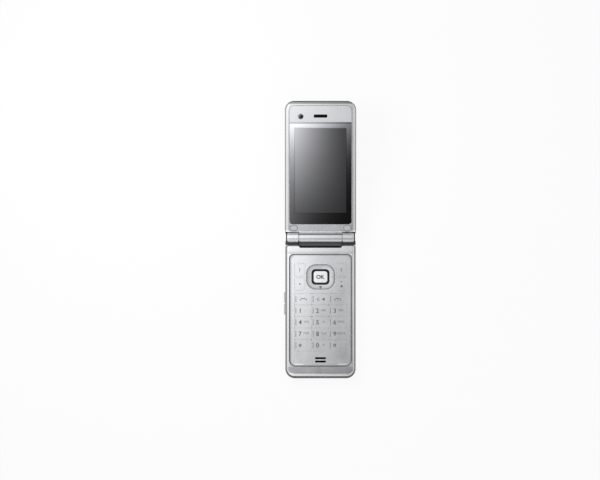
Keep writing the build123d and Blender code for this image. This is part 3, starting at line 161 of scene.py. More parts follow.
class Bench(Nodes):
    def __init__(self, name):
        self.material = bpy.data.materials.new(name)
        self.material.use_nodes = True
        super().__init__(self.material.node_tree)
        self.shader = self.tree.nodes["Principled BSDF"]
        self.where = self.add("ShaderNodeTexCoord").outputs["Object"]

    def part(self, name):
        """One of the piece's own coordinates."""
        return self.add("ShaderNodeSeparateXYZ", Vector=self.where).outputs[name]

    def away(self, point):
        """Distance from a point."""
        node = self.add("ShaderNodeVectorMath", {"operation": "DISTANCE"}, i0=self.where, i1=point)
        return node.outputs["Value"]

    def noise(self, size, detail=2.0):
        """Soft noise whose lumps are about `size` across."""
        node = self.add("ShaderNodeTexNoise", Vector=self.where, Scale=1 / size, Detail=detail)
        return node.outputs["Fac"]

    def spread(self, noise, low, high):
        """A noise, which lies mostly from 0.3 to 0.7, spread from low to high."""
        return self.remap(noise, 0.3, 0.7, low, high)

    def plugged(self, name):
        """What runs into one of the shader's sockets."""
        return self.shader.inputs[name].links[0].from_socket

    def set(self, **values):
        for key, value in values.items():
            self.plug(self.shader.inputs[key.replace("_", " ")], value)

    def surface(self, size, strength, edge=0.0):
        """Fine bumps of a size, over edges softened by a radius."""
        bump = self.add("ShaderNodeBump", Strength=strength, Distance=GRAIN_DEPTH,
                        Height=self.noise(size))
        if edge:
            bevel = self.add("ShaderNodeBevel", {"samples": 6}, Radius=edge)
            self.plug(bump.inputs["Normal"], bevel.outputs["Normal"])
        self.set(Normal=bump.outputs["Normal"])


print("bench ready")

# %% [markdown]
# Greys are given as the linear brightness that a shader works with. A colour that was
# chosen on a screen is turned into linear values first. A finished material is put on as
# many parts as share it.

# %% Colours, and dressing a part
def tone(level):
    """A grey of that brightness."""
    return (level, level, level, 1)


def screen_tone(red, green, blue):
    """A colour given as the 0 to 255 of a screen, as the linear values a shader wants."""
    shares = [c / 255 for c in (red, green, blue)]
    return (*[((c + 0.055) / 1.055) ** 2.4 if c > 0.0404 else c / 12.92 for c in shares], 1)


def dress(material, *names):
    """Gives CAD nodes their finish."""
    for name in names:
        nodes[name].data.materials.clear()
        nodes[name].data.materials.append(material)


print("mid grey of a screen is", round(screen_tone(128, 128, 128)[0], 3))

# %% [markdown]
# Most of what shows is silver paint over plastic: a base coat full of tiny aluminium flakes,
# under a clear coat. The flakes lie at all angles, so a fine noise lightens and darkens the
# colour and tips the surface a little. A second, much larger noise makes slightly duller and
# shinier areas, as fingers do. The edges get a softened normal, as paint rounds every
# corner.

# %% Silver paint
FLAKE = 0.12 * MM
PAINTED_EDGE = 0.12 * MM


def silver_paint(name, level, roughness=0.34, metal=0.55, coat=0.35, flake=0.05, edge=PAINTED_EDGE):
    bench = Bench(name)
    cloud = bench.noise(11 * MM, detail=3.0)
    shade = bench.math("ADD", bench.spread(bench.noise(FLAKE, detail=1.0), 1 - flake, 1 + flake),
                       bench.spread(cloud, -0.02, 0.02))
    colour = bench.blend(1.0, (level * 0.985, level * 0.99, level * 1.02, 1), shade, "MULTIPLY")
    bench.set(Base_Color=colour, Metallic=metal, Coat_Weight=coat, Coat_Roughness=0.12,
              Roughness=bench.spread(cloud, roughness - 0.04, roughness + 0.05))
    bench.surface(0.16 * MM, 0.12, edge)
    return bench


shell = silver_paint("silver_shell_paint", 0.69, roughness=0.22, metal=0.85)
frame_paint = silver_paint("silver_frame_paint", 0.66, roughness=0.20, metal=0.85, flake=0.03)
panel_paint = silver_paint("silver_panel_paint", 0.70, roughness=0.28, metal=0.8)
# The rocker's silver is a shade darker than the rest, as painted shade.
rocker_paint = silver_paint("silver_rocker_paint", 0.55)
ring_paint = silver_paint("silver_ring_paint", 0.60, roughness=0.24, metal=0.85)
dress(frame_paint.material, "lid_frame")
dress(panel_paint.material, "lid_bezel")
dress(rocker_paint.material, "volume_key")
ring_low, ring_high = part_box("nav_ring")
ring_middle = (ring_low + ring_high) / 2
dress(ring_paint.material, "nav_ring")
print("painted", ["lid_frame", "lid_bezel", "volume_key", "nav_ring"])

# %% [markdown]
# The front shell is painted on its outside only. The step under the knuckles is masked and
# painted dark, as painted shade, so the hinge seems to float over a black line. The bevel
# around the plate's opening is masked too and painted near black, as painted shade. Each
# mask is a box of the shell's own coordinates.

# %% Painted shade on the front shell
def bare_or_shade(bench, unpainted_or_shaded, colour, roughness):
    """Takes the paint off, or paints shade, where the mask is 1."""
    metal = bench.shader.inputs["Metallic"].default_value
    rough = bench.times(unpainted_or_shaded, roughness)
    bench.set(Base_Color=bench.blend(unpainted_or_shaded, bench.plugged("Base Color"), colour),
              Metallic=bench.times(bench.math("SUBTRACT", 1.0, unpainted_or_shaded), metal),
              Roughness=bench.math("MAXIMUM", bench.plugged("Roughness"), rough))


STEP_TOP = 7.25 * MM
STEP_START = AXIS_Y - 5.42 * MM
GROOVE_REACH = 0.5 * MM
GROOVE_DROP = 0.06 * MM
plate_low, plate_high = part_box("keypad_plate")
FACE_HEIGHT = 9.2 * MM
# Painted shade: the step under the knuckles is painted dark.
under_hinge = shell.times(shell.math("LESS_THAN", shell.part("Z"), STEP_TOP),
                          shell.above(shell.part("Y"), STEP_START))
in_columns = shell.between(shell.part("X"), plate_low.x - GROOVE_REACH, plate_high.x + GROOVE_REACH)
in_rows = shell.between(shell.part("Y"), plate_low.y - GROOVE_REACH, plate_high.y + GROOVE_REACH)
# Painted shade: the bevel around the plate's opening is painted near black.
in_groove = shell.times(in_columns, in_rows,
                        shell.math("LESS_THAN", shell.part("Z"), FACE_HEIGHT - GROOVE_DROP))
painted_shade_colour = shell.blend(in_groove, tone(0.010), tone(0.13))
bare_or_shade(shell, shell.math("MAXIMUM", under_hinge, in_groove), painted_shade_colour, 0.6)
dress(shell.material, "base_front_shell")
print("bare below", STEP_TOP, "from y", round(STEP_START, 4), "and around the plate")

# %% [markdown]
# Past the plate, the shell's face dips towards the end by a few tenths of a millimetre, and
# all around it rolls softly into its edge, more slowly at the free end. Between the hinge
# and the plate it is a little hollow. That is too slight to see from the side, but a
# polished face shows it as grey bands and bright lines. A bump whose height falls away by
# just that much tips the surface, while the solid stays flat. Height and distance are both
# in metres, so the slope comes out true. The ring is dished in the same way, towards the
# centre key.

# %% Dip and roll of the base's rim
DIP_SLOPE = 0.13
BASE_CORNER = 7.0 * MM
ROLL_WIDTH = 2.7 * MM
ROLL_SLOPE = 0.36
END_STRETCH = 1.4
HOLLOW_START = 8.4 * MM
HOLLOW_WIDTH = 3.4 * MM
HOLLOW_SLOPE = 0.14
RING_SLOPE = 0.035


def past(bench, value, start):
    """How far a value is past a start, in metres, and 0 before it."""
    return bench.math("MAXIMUM", bench.math("SUBTRACT", value, start), 0.0)


def length(bench, first, second):
    """Length of the long side over two square ones."""
    squares = [bench.math("POWER", side, 2.0) for side in (first, second)]
    return bench.math("SQRT", bench.math("ADD", *squares))


def tip(bench, height):
    """Tips the surface as if it stood that high, in metres."""
    slope = bench.add("ShaderNodeBump", Strength=1.0, Distance=1.0, Height=height,
                      Normal=bench.plugged("Normal"))
    bench.set(Normal=slope.outputs["Normal"])


def bowl(bench, reach, width, slope):
    """Height of a curve whose slope grows evenly, up to `slope` at the width."""
    return bench.times(bench.math("POWER", reach, 2.0), slope / (2 * width))


shell_low, shell_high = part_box("base_front_shell")
towards_end = shell.times(shell.part("Y"), -1.0)
dip = shell.times(past(shell, towards_end, -plate_low.y + GROOVE_REACH), DIP_SLOPE)
over_side = past(shell, shell.off(shell.part("X")), shell_high.x - BASE_CORNER)
over_end = shell.times(past(shell, towards_end, -shell_low.y - BASE_CORNER), END_STRETCH)
from_core = length(shell, over_side, over_end)
roll = bowl(shell, past(shell, from_core, BASE_CORNER - ROLL_WIDTH), ROLL_WIDTH, ROLL_SLOPE)
hollow = shell.math("MINIMUM", past(shell, towards_end, HOLLOW_START - AXIS_Y), HOLLOW_WIDTH)
hollow = bowl(shell, hollow, HOLLOW_WIDTH, HOLLOW_SLOPE)
fall = shell.math("ADD", shell.math("ADD", dip, roll), hollow)
tip(shell, shell.times(fall, -1.0))
tip(ring_paint, ring_paint.times(ring_paint.away(ring_middle), RING_SLOPE))
print("dips past y", round(plate_low.y - GROOVE_REACH, 4))

# %% [markdown]
# The keypad plate and the keys are one calm silver field, flatter and finer than the shell's
# paint. The keys carry the same paint under a little more clear coat. A thin upright rib at
# the left of each number key, there for the fingertip, has its top painted grey.

# %% Keypad plate and keys
plate = silver_paint("silver_plate_paint", 0.69, roughness=0.26, metal=0.8, flake=0.06)
key_paint = silver_paint("silver_key_paint", 0.69, roughness=0.26, metal=0.8, coat=0.4, flake=0.06,
                         edge=0.16 * MM)
DIGIT_KEYS = ["key_" + sign for sign in "1 2 3 4 5 6 7 8 9 star 0 hash".split()]
CALL_KEYS = ["send_key", "clear_key", "end_key"]
SIDE_KEYS = ["soft_key_left", "soft_key_right", "shortcut_key_left", "shortcut_key_right"]
KEY_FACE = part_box("soft_key_left")[1].z
RIB_START = KEY_FACE + 0.03 * MM
# The rib's top is painted grey.
rib_top = key_paint.above(key_paint.part("Z"), RIB_START)
bare_or_shade(key_paint, rib_top, tone(0.27), 0.4)
dress(plate.material, "keypad_plate")
dress(key_paint.material, *DIGIT_KEYS, *CALL_KEYS, *SIDE_KEYS)
print("keys", len(DIGIT_KEYS + CALL_KEYS + SIDE_KEYS))

# %% [markdown]
# Where a part stands in an opening, the last millimetre before its edge is painted darker, as
# painted shade. How near a point is to a rounded rectangle's edge is a short sum of its two
# distances from the middle, so one helper serves the plate, the ring and the lid's bumpers.
# On the plate the painted shade reaches further in at the left. The volume rocker is painted
# darker along its upper edge, as painted shade.

# %% Painted shade along the edges of the plate, the ring and the rocker
def dim(bench, share, keep):
    """Takes the colour to `keep` of itself where the share is 1."""
    shade = bench.remap(share, 0.0, 1.0, 1.0, keep)
    bench.set(Base_Color=bench.blend(1.0, bench.plugged("Base Color"), shade, "MULTIPLY"))


def near_edge(bench, away, half, corner, width):
    """0 to 1 over the last stretch before a rounded rectangle's edge."""
    over = [past(bench, distance, size - corner) for distance, size in zip(away, half)]
    return bench.rise(length(bench, *over), corner - width, corner)


def from_middle(bench, low, high):
    """Distances along X and Y from the middle of a box, and its half sizes."""
    middle = (low + high) / 2
    away = [bench.off(bench.part("X"), middle.x), bench.off(bench.part("Y"), middle.y)]
    return away, ((high.x - low.x) / 2, (high.y - low.y) / 2)


PLATE_CORNER, PLATE_SHADE_WIDTH = 3.8 * MM, 1.2 * MM
RING_CORNER, RING_SHADE_WIDTH = 6.6 * MM, 2.4 * MM
ROCKER_SHADE_WIDTH = 0.5 * MM
LEFT_SHIFT = Vector((0.5 * MM, 0, 0))
plate_reach = from_middle(plate, plate_low + LEFT_SHIFT, plate_high)
# Painted shade along the plate's edge, wider at the left.
dim(plate, near_edge(plate, *plate_reach, PLATE_CORNER, PLATE_SHADE_WIDTH), keep=0.48)
ring_reach = from_middle(ring_paint, ring_low, ring_high)
# Painted shade along the ring's edge.
dim(ring_paint, near_edge(ring_paint, *ring_reach, RING_CORNER, RING_SHADE_WIDTH), keep=0.66)
rocker_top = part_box("volume_key")[1].z
# Painted shade along the rocker's upper edge.
rocker_shade = rocker_paint.rise(rocker_paint.part("Z"), rocker_top - ROCKER_SHADE_WIDTH, rocker_top)
dim(rocker_paint, rocker_shade, keep=0.2)
print("plate size", [round(v, 4) for v in plate_high - plate_low])

# %% [markdown]
# The plate and the keys are pressed as one field with a slight crown: the right side leans
# away a little and mirrors a darker part of the room. The slope grows evenly from the left
# columns on. At the plate's lower edge, near both corners, two short streaks with soft ends
# are painted bright, as painted highlights.

# %% Crown of the keypad and painted highlights at its corners
CROWN_START = -12.0 * MM
CROWN_WIDTH = 34.0 * MM
CROWN_SLOPE = 0.09
HIGHLIGHT_INSET = 1.3 * MM
HIGHLIGHT_SOFT = (0.1 * MM, 0.6 * MM)
HIGHLIGHT_ENDS = ((11.5 * MM, 14.0 * MM), (20.0 * MM, 17.5 * MM))
for bench in (plate, key_paint):
    across = past(bench, bench.part("X"), CROWN_START)
    tip(bench, bowl(bench, across, CROWN_WIDTH, -CROWN_SLOPE))
# Painted highlights: two bright streaks at the plate's lower corners.
off_highlight = plate.off(plate.part("Y"), plate_low.y + HIGHLIGHT_INSET)
corner_highlight = plate.remap(off_highlight, *HIGHLIGHT_SOFT, 1.0, 0.0)
aside = plate.off(plate.part("X"))
corner_highlight = plate.times(corner_highlight, *(plate.rise(aside, *ends) for ends in HIGHLIGHT_ENDS))
dim(plate, corner_highlight, keep=1.7)
print("crown from x", CROWN_START, "streaks at y", round(plate_low.y + HIGHLIGHT_INSET, 4))

# %% [markdown]
# The keys of a slim phone lie under one thin film that dips a little at each seam. The
# solids are separate keys with a gap of about a tenth of a millimetre, which would draw a
# hard grid. A narrow silver rim around each key, and one around the whole field, stand in
# for the film there, just below the key tops, and leave the keys free to move.

# %% Film in the seams
def put(name, data):
    """A new object in the scene."""
    thing = bpy.data.objects.new(name, data)
    bpy.context.scene.collection.objects.link(thing)
    return thing


def rounded_outline(half_x, half_y, radius):
    steps = 5
    points = []
    for turn, sx, sy in ((0, 1, 1), (90, -1, 1), (180, -1, -1), (270, 1, -1)):
        for i in range(steps + 1):
            angle = radians(turn + 90 * i / steps)
            points.append((sx * (half_x - radius) + radius * cos(angle),
                           sy * (half_y - radius) + radius * sin(angle)))
    return points


FILM_TOP = KEY_FACE - 0.03 * MM
FILM_LOW = FILM_TOP - 0.15 * MM


def seam_rim(shape, box, corner, near, far):
    """Adds a rim around a key's box, from `near` to `far` outside its edge."""
    low, high = box
    half_x, half_y = (high.x - low.x) / 2, (high.y - low.y) / 2
    middle = (low + high) / 2
    rings = []
    for offset, z in ((near, FILM_TOP), (far, FILM_TOP), (far, FILM_LOW), (near, FILM_LOW)):
        outline = rounded_outline(half_x + offset, half_y + offset, corner + offset)
        rings.append([shape.verts.new((middle.x + x, middle.y + y, z)) for x, y in outline])
    for inner, outer in zip(rings, rings[1:] + rings[:1]):
        count = len(inner)
        for i in range(count):
            j = (i + 1) % count
            shape.faces.new((inner[i], inner[j], outer[j], outer[i]))


KEY_CORNER = 0.5 * MM
SIDE_KEY_CORNER = 1.2 * MM
KEY_RIM = (0.006 * MM, 0.054 * MM)
FIELD_RIM = (0.06 * MM, 0.112 * MM)
SIDE_KEY_RIM = (0.01 * MM, 0.11 * MM)
film_shape = bmesh.new()
field = [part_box(key) for key in DIGIT_KEYS + CALL_KEYS]
for box in field:
    seam_rim(film_shape, box, KEY_CORNER, *KEY_RIM)
field_low = Vector([min(low[i] for low, high in field) for i in range(3)])
field_high = Vector([max(high[i] for low, high in field) for i in range(3)])
seam_rim(film_shape, (field_low, field_high), KEY_CORNER, *FIELD_RIM)
for key in SIDE_KEYS:
    seam_rim(film_shape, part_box(key), SIDE_KEY_CORNER, *SIDE_KEY_RIM)
bmesh.ops.recalc_face_normals(film_shape, faces=film_shape.faces)
film_mesh = bpy.data.meshes.new("seam_film")
film_shape.to_mesh(film_mesh)
film_shape.free()
film_mesh.materials.append(key_paint.material)
seam_film = put("seam_film", film_mesh)
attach(seam_film, "base")
print("film faces", len(film_mesh.polygons))

# %% [markdown]
# The centre key is two mouldings in one: a dark navy border, clear over colour, and a
# raised pale metal cap. Both belong to the same solid, so one material holds both and
# changes over where the key's height passes the border.

# %% Centre key
OK_BORDER_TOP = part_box("ok_key")[1].z - 0.1 * MM


def centre_key_finish():
    bench = Bench("centre_key")
    cap = bench.above(bench.part("Z"), OK_BORDER_TOP)
    haze = bench.noise(1.2 * MM)
    pale = bench.ramp(haze, [(0.3, tone(0.78)), (0.7, tone(0.88))])
    navy = bench.ramp(haze, [(0.3, (0.004, 0.006, 0.014, 1)), (0.7, (0.008, 0.012, 0.024, 1))])
    bench.set(Base_Color=bench.blend(cap, navy, pale), Metallic=bench.times(cap, 0.7),
              Roughness=bench.spread(haze, 0.16, 0.24), Specular_IOR_Level=0.2,
              Coat_Weight=0.05, Coat_Roughness=0.08)
    bench.surface(0.2 * MM, 0.05, 0.1 * MM)
    return bench.material


dress(centre_key_finish(), "ok_key")
print("centre key changes over at z", round(OK_BORDER_TOP, 5))

# %% [markdown]
# The lid's frame shows as a slim silver rim around the display. Its strip next to the hinge
# is turned up a little and painted brighter, as a painted highlight, and its two sides are
# rolled over. The joint line beside the barrel is painted dark, as painted shade, and the
# free end is painted darker. Strip, line and end depend on `u`, which the material works out
# from the frame's own Y and Z, so they stay right as the lid swings.

# %% Rim of the lid
def distance_along_lid(bench):
    """The lid's own u, from a lid piece's Y and Z, in metres."""
    along_y = bench.times(bench.math("SUBTRACT", bench.part("Y"), AXIS_Y), cos(LID_TILT))
    along_z = bench.times(bench.math("SUBTRACT", bench.part("Z"), AXIS_Z), sin(LID_TILT))
    return bench.math("ADD", along_y, along_z)


STRIP_START = 3.7 * MM
STRIP_END = 5.1 * MM
STRIP_SLOPE = -0.26
HIGHLIGHT_END = 5.2 * MM
JOINT_SHADE = (2.55 * MM, 3.35 * MM)
BARREL_TOP = 1.5 * MM
FREE_END = (100.8 * MM, 101.4 * MM)
SIDE_START = 22.4 * MM
SIDE_WIDTH = 3.2 * MM
SIDE_SLOPE = 0.30
along_frame = distance_along_lid(frame_paint)
strip = past(frame_paint, STRIP_END, along_frame)
strip = frame_paint.math("MINIMUM", strip, STRIP_END - STRIP_START)
rim = past(frame_paint, frame_paint.off(frame_paint.part("X")), SIDE_START)
rim = bowl(frame_paint, rim, SIDE_WIDTH, SIDE_SLOPE)
fall = frame_paint.math("ADD", frame_paint.times(strip, STRIP_SLOPE), rim)
tip(frame_paint, frame_paint.times(fall, -1.0))
joint_shade = frame_paint.times(frame_paint.above(frame_paint.part("Z"), AXIS_Z + BARREL_TOP),
                               frame_paint.between(along_frame, *JOINT_SHADE))
# Painted shade beside the barrel.
dim(frame_paint, joint_shade, keep=0.42)
# The free end is painted darker.
dim(frame_paint, frame_paint.rise(along_frame, *FREE_END), keep=0.38)
# Painted highlight on the strip next to the hinge.
dim(frame_paint, frame_paint.between(along_frame, STRIP_START, HIGHLIGHT_END), keep=1.45)
print("strip up to u", STRIP_END, "sides from x", SIDE_START)

# %% [markdown]
# The lid's outer cover has five wide bands of blue metallic, most of them fading darker
# towards the lid's free end, under a deep clear coat. The bands run across the lid, so their
# place depends only on `u`. A colour ramp holds each band's colours, with sharp steps
# between bands; the band nearest the hinge also holds a painted highlight, and both ends are
# painted nearly black, as painted shade. The bands nearest the hinge are painted lighter on
# one side of the lid than on the other, as a painted reflection. Along both rounded sides
# runs a pale painted highlight, and the very edge is painted nearly black, as painted shade.

# %% Banded blue cover
# Stops in mm from the hinge: the first band's bright stop is a painted highlight, and the first and last
# stops are painted shade.
BANDS_AND_PAINTED_LIGHT = (
    ((0.0, (8, 10, 20)), (6.0, (44, 56, 80)), (13.0, (124, 130, 154)), (20.9, (108, 114, 136))),
    ((20.9, (88, 97, 118)), (41.3, (50, 64, 86))),
    ((41.3, (66, 84, 110)), (61.3, (20, 44, 76))),
    ((61.3, (50, 76, 108)), (81.7, (30, 57, 92))),
    ((81.7, (68, 102, 146)), (98.5, (58, 86, 122)), (101.5, (12, 15, 26))),
)
COVER_REACH = 103.0
COVER_HALF = 26.0
SIDE_HIGHLIGHT = ((0.0, 0.0), (20.0, 0.0), (21.1, 1.0), (22.7, 1.0), (23.6, 0.0))
SIDE_SHADE = ((23.2, 0.0), (24.6, 1.0))
HIGHLIGHT_SPAN = ((4.0, 0.0), (13.0, 1.0), (91.0, 1.0), (97.5, 0.0))
HIGHLIGHT_SHARE, SHADE_SHARE = 0.68, 0.75
PAINTED_HIGHLIGHT_TONE = screen_tone(212, 226, 250)
EDGE_SHADE_TONE = screen_tone(8, 10, 18)
REFLECTION_SPAN = (0.15, 0.72)
REFLECTION_LEANS = (-0.6 / (15.7 * MM), -0.04 / (15.7 * MM))


def in_steps(bench, share, reach, stops):
    """Levels along a share of a reach: stops are (millimetres, level)."""
    return bench.ramp(share, [(place / reach, tone(level)) for place, level in stops])


def banded_blue():
    bench = Bench("banded_blue")
    stops = []
    for band in BANDS_AND_PAINTED_LIGHT:
        for i, (place, colour) in enumerate(band):
            nudge = {0: 0.1, len(band) - 1: -0.1}.get(i, 0.0)
            stops.append(((place + nudge) / COVER_REACH, screen_tone(*colour)))
    along = bench.math("DIVIDE", distance_along_lid(bench), COVER_REACH * MM)
    aside = bench.math("DIVIDE", bench.off(bench.part("X")), COVER_HALF * MM)
    # Painted highlight along the rounded sides, and painted shade at the very edge.
    light = in_steps(bench, aside, COVER_HALF, SIDE_HIGHLIGHT)
    painted_shade = in_steps(bench, aside, COVER_HALF, SIDE_SHADE)
    span = in_steps(bench, along, COVER_REACH, HIGHLIGHT_SPAN)
    # Painted reflection: near the hinge the cover is lighter towards one side.
    reflection_lean = bench.remap(along, *REFLECTION_SPAN, *REFLECTION_LEANS)
    reflection_gain = bench.math("EXPONENT", bench.times(bench.part("X"), reflection_lean))
    bands = bench.blend(1.0, bench.ramp(along, stops), reflection_gain, "MULTIPLY")
    paint = bench.blend(bench.times(light, span, HIGHLIGHT_SHARE), bands, PAINTED_HIGHLIGHT_TONE)
    paint = bench.blend(bench.times(painted_shade, SHADE_SHARE), paint, EDGE_SHADE_TONE)
    shade = bench.spread(bench.noise(FLAKE, detail=1.0), 0.93, 1.07)
    bench.set(Base_Color=bench.blend(1.0, paint, shade, "MULTIPLY"), Metallic=0.35,
              Roughness=bench.spread(bench.noise(15 * MM), 0.26, 0.33), Coat_Weight=1.0,
              Coat_Roughness=0.03, Specular_IOR_Level=0.15)
    bench.surface(0.3 * MM, 0.03)
    return bench.material


dress(banded_blue(), "lid_cover")
print("bands start at", [band[0][0] for band in BANDS_AND_PAINTED_LIGHT], "mm from the hinge axis")

# %% [markdown]
# The rear shell and the battery cover are a plain, satin dark blue. Palms polish it: large
# soft areas are a little shinier. Inside, and where it shows under the barrel, the moulding
# is bare and dark. The front of the slot under the barrel is painted black, as painted
# shade: a dark colour with full metal reflects only its own darkness.

# %% Dark blue back
def back_paint(name, colour):
    bench = Bench(name)
    shade = bench.spread(bench.noise(0.2 * MM), 0.9, 1.1)
    bench.set(Base_Color=bench.blend(1.0, colour, shade, "MULTIPLY"), Metallic=0.25,
              Roughness=bench.spread(bench.noise(14 * MM, detail=3.0), 0.36, 0.48), Coat_Weight=0.25,
              Coat_Roughness=0.3)
    bench.surface(0.18 * MM, 0.2, PAINTED_EDGE)
    return bench


SEAM_Z = 4.45 * MM
SKIN = 0.95 * MM
WALL = 1.25 * MM
SLOT_SHADE_SPAN = (AXIS_Y - 7.4 * MM, AXIS_Y - 6.05 * MM)
SLOT_FLOOR = 7.5 * MM
rear = back_paint("dark_blue_shell", screen_tone(64, 78, 102))
rear_low, rear_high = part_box("base_rear_shell")
in_width = rear.between(rear.part("X"), rear_low.x + WALL, rear_high.x - WALL)
in_length = rear.between(rear.part("Y"), rear_low.y + WALL, STEP_START)
in_room = rear.times(rear.above(rear.part("Z"), SKIN), in_width, in_length)
above_seam = rear.above(rear.part("Z"), SEAM_Z)
bare_or_shade(rear, rear.math("MAXIMUM", in_room, above_seam), tone(0.05), 0.55)
# Painted shade: the front of the slot is painted black.
slot_shade = rear.times(rear.between(rear.part("Y"), *SLOT_SHADE_SPAN),
                        rear.above(rear.part("Z"), SLOT_FLOOR))
dim(rear, slot_shade, keep=0.04)
rear.set(Metallic=rear.math("MAXIMUM", slot_shade, rear.plugged("Metallic")))
dress(rear.material, "base_rear_shell")
dress(back_paint("dark_blue_battery_cover", screen_tone(60, 74, 98)).material, "battery_cover")
print("back painted")

# %% [markdown]
# The display window is smoked glass. Its border and its picture area carry a painted
# reflection: a diagonal ramp, bright towards one corner and black towards the other, darker
# over the picture area, as an unlit cell is. It is fixed to the glass, so it stays put from
# every side, and the gloss over it comes from the shader. A thin line around the picture
# area and a strip along the top edge are painted dark, as painted shade.

# %% Display window
window_low, window_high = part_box("display_window")
WINDOW_HALF = (window_high.x - window_low.x) / 2
WINDOW_END = (window_high.y - AXIS_Y) / cos(LID_TILT) - 1.2 * MM
ACTIVE_HALF = 18.65 * MM
ACTIVE_START = 18.6 * MM
ACTIVE_END = 82.6 * MM
REFLECTION_FADE_SPAN = (ACTIVE_END + 4 * MM, ACTIVE_START - 8 * MM)
SHADE_LINE_WIDTH = 0.45 * MM
TOP_SHADE_WIDTH = 0.5 * MM


def painted_reflection_fade(bench, start, steps):
    """A painted reflection: a grey that falls away exponentially along each share."""
    total = 0.0
    for share, rate in steps:
        total = bench.math("ADD", total, bench.times(share, -rate))
    level = bench.times(bench.math("EXPONENT", total), start)
    return bench.blend(1.0, (0.985, 0.99, 1.04, 1), level, "MULTIPLY")


def in_picture_area(bench, across, along, margin=0.0):
    """1 inside the picture area, made wider by a margin on all sides."""
    return bench.times(bench.between(across, -ACTIVE_HALF - margin, ACTIVE_HALF + margin),
                       bench.between(along, ACTIVE_START - margin, ACTIVE_END + margin))


def display_finish():
    bench = Bench("smoked_display_glass")
    along = distance_along_lid(bench)
    across = bench.part("X")
    down = bench.rise(along, *REFLECTION_FADE_SPAN)
    right = bench.rise(across, -WINDOW_HALF, WINDOW_HALF)
    corner = bench.times(down, right)
    bend = bench.math("SUBTRACT", 1.5, bench.times(down, 0.5))
    falls = ((bench.math("POWER", down, 1.7), 1.95), (bench.math("POWER", right, bend), 2.86))
    # Painted reflection over the picture area and, below, over the border.
    picture = painted_reflection_fade(bench, start=0.632, steps=(*falls, (corner, -1.5)))
    falls = ((down, 2.3), (bench.math("POWER", right, 2.0), 1.5))
    border = painted_reflection_fade(bench, start=1.0, steps=(*falls, (corner, 2.5)))
    in_picture = in_picture_area(bench, across, along)
    # Painted shade: a line around the picture area and a strip along the top edge.
    line = bench.math("SUBTRACT", in_picture_area(bench, across, along, SHADE_LINE_WIDTH), in_picture)
    top_edge_shade = bench.above(along, WINDOW_END - TOP_SHADE_WIDTH)
    painted_shade = bench.math("MAXIMUM", bench.times(line, 0.35), bench.times(top_edge_shade, 0.45))
    painted_reflection = bench.blend(in_picture, border, picture)
    bench.set(Base_Color=bench.blend(painted_shade, painted_reflection, tone(0.0)), Metallic=0.3,
              Roughness=bench.spread(bench.noise(20 * MM), 0.10, 0.16), Specular_IOR_Level=0.12,
              Coat_Weight=0.08, Coat_Roughness=0.02)
    return bench.material


dress(display_finish(), "display_window")
print("window", round(2 * WINDOW_HALF / MM, 1), "mm wide, up to u", round(WINDOW_END / MM, 1))

# %% [markdown]
# Small parts are finished by what they are: dark moulded caps, tinned steel, plated screws,
# a green board. Many only show when a cover moves, or not at all, but a part that is opened
# one day should not turn out blank. A list says which parts get which finish.

# %% Mouldings, rubber and metal
def plain_finish(name, colour, roughness, metal=0.0, coat=0.0, speck=0.08, edge=0.0, specular=0.5):
    bench = Bench(name)
    shade = bench.spread(bench.noise(0.3 * MM), 1 - speck, 1 + speck)
    rough = bench.spread(bench.noise(6 * MM), roughness - 0.05, roughness + 0.06)
    bench.set(Base_Color=bench.blend(1.0, colour, shade, "MULTIPLY"), Metallic=metal, Roughness=rough,
              Coat_Weight=coat, Coat_Roughness=0.1, Specular_IOR_Level=specular)
    bench.surface(0.3 * MM, 0.15, edge)
    return bench.material


MOULDED_EDGE = 0.1 * MM
PLAIN = (
    ("dark_cap", tone(0.016), 0.35, {"coat": 0.3, "edge": MOULDED_EDGE}, "hinge_caps"),
    ("dark_moulding", tone(0.02), 0.55, {}, "loudspeaker rear_camera front_camera earpiece"),
    ("black_gauze", tone(0.002), 0.9, {"specular": 0.05}, "microphone"),
    ("flap_elastomer", screen_tone(70, 84, 108), 0.45, {"coat": 0.1, "edge": MOULDED_EDGE},
     "port_cover"),
    ("key_silicone", tone(0.58), 0.7, {}, "keypad_mat nav_pad"),
    ("antenna_carrier", tone(0.05), 0.5, {}, "antenna"),
    ("board_mask", (0.02, 0.09, 0.045, 1), 0.35, {"coat": 0.4}, "main_board lid_board volume_switch"),
    ("tinned_sheet", tone(0.62), 0.28, {"metal": 1.0, "speck": 0.05},
     "shield_cans sim_holder charge_socket vibration_motor"),
    ("plated_screw", tone(0.30), 0.3, {"metal": 1.0}, "base_screws lid_screws"),
    ("ground_steel", tone(0.45), 0.25, {"metal": 1.0}, "hinge_cartridge hinge_bush"),
    ("dome_film", (0.66, 0.62, 0.52, 1), 0.3, {"metal": 0.3, "coat": 0.6}, "dome_sheet"),
    ("battery_wrap", tone(0.42), 0.4, {"metal": 0.6, "speck": 0.05}, "battery"),
    ("contact_plating", (0.78, 0.56, 0.22, 1), 0.22, {"metal": 1.0}, "battery_contacts"),
    ("cable_film", (0.50, 0.22, 0.04, 1), 0.3, {"coat": 0.5}, "hinge_flex"),
    ("display_cell", tone(0.02), 0.2, {"coat": 0.5}, "display_panel"),
)
for name, colour, roughness, options, parts in PLAIN:
    dress(plain_finish(name, colour, roughness, **options), *parts.split())
print("plain finishes", len(PLAIN))

# %% [markdown]
# Two oval rubber bumpers sit in the lid beside the hinge. They are soft grey, and painted
# darker in the last stretch before their edges, as painted shade where the rubber meets its hole.

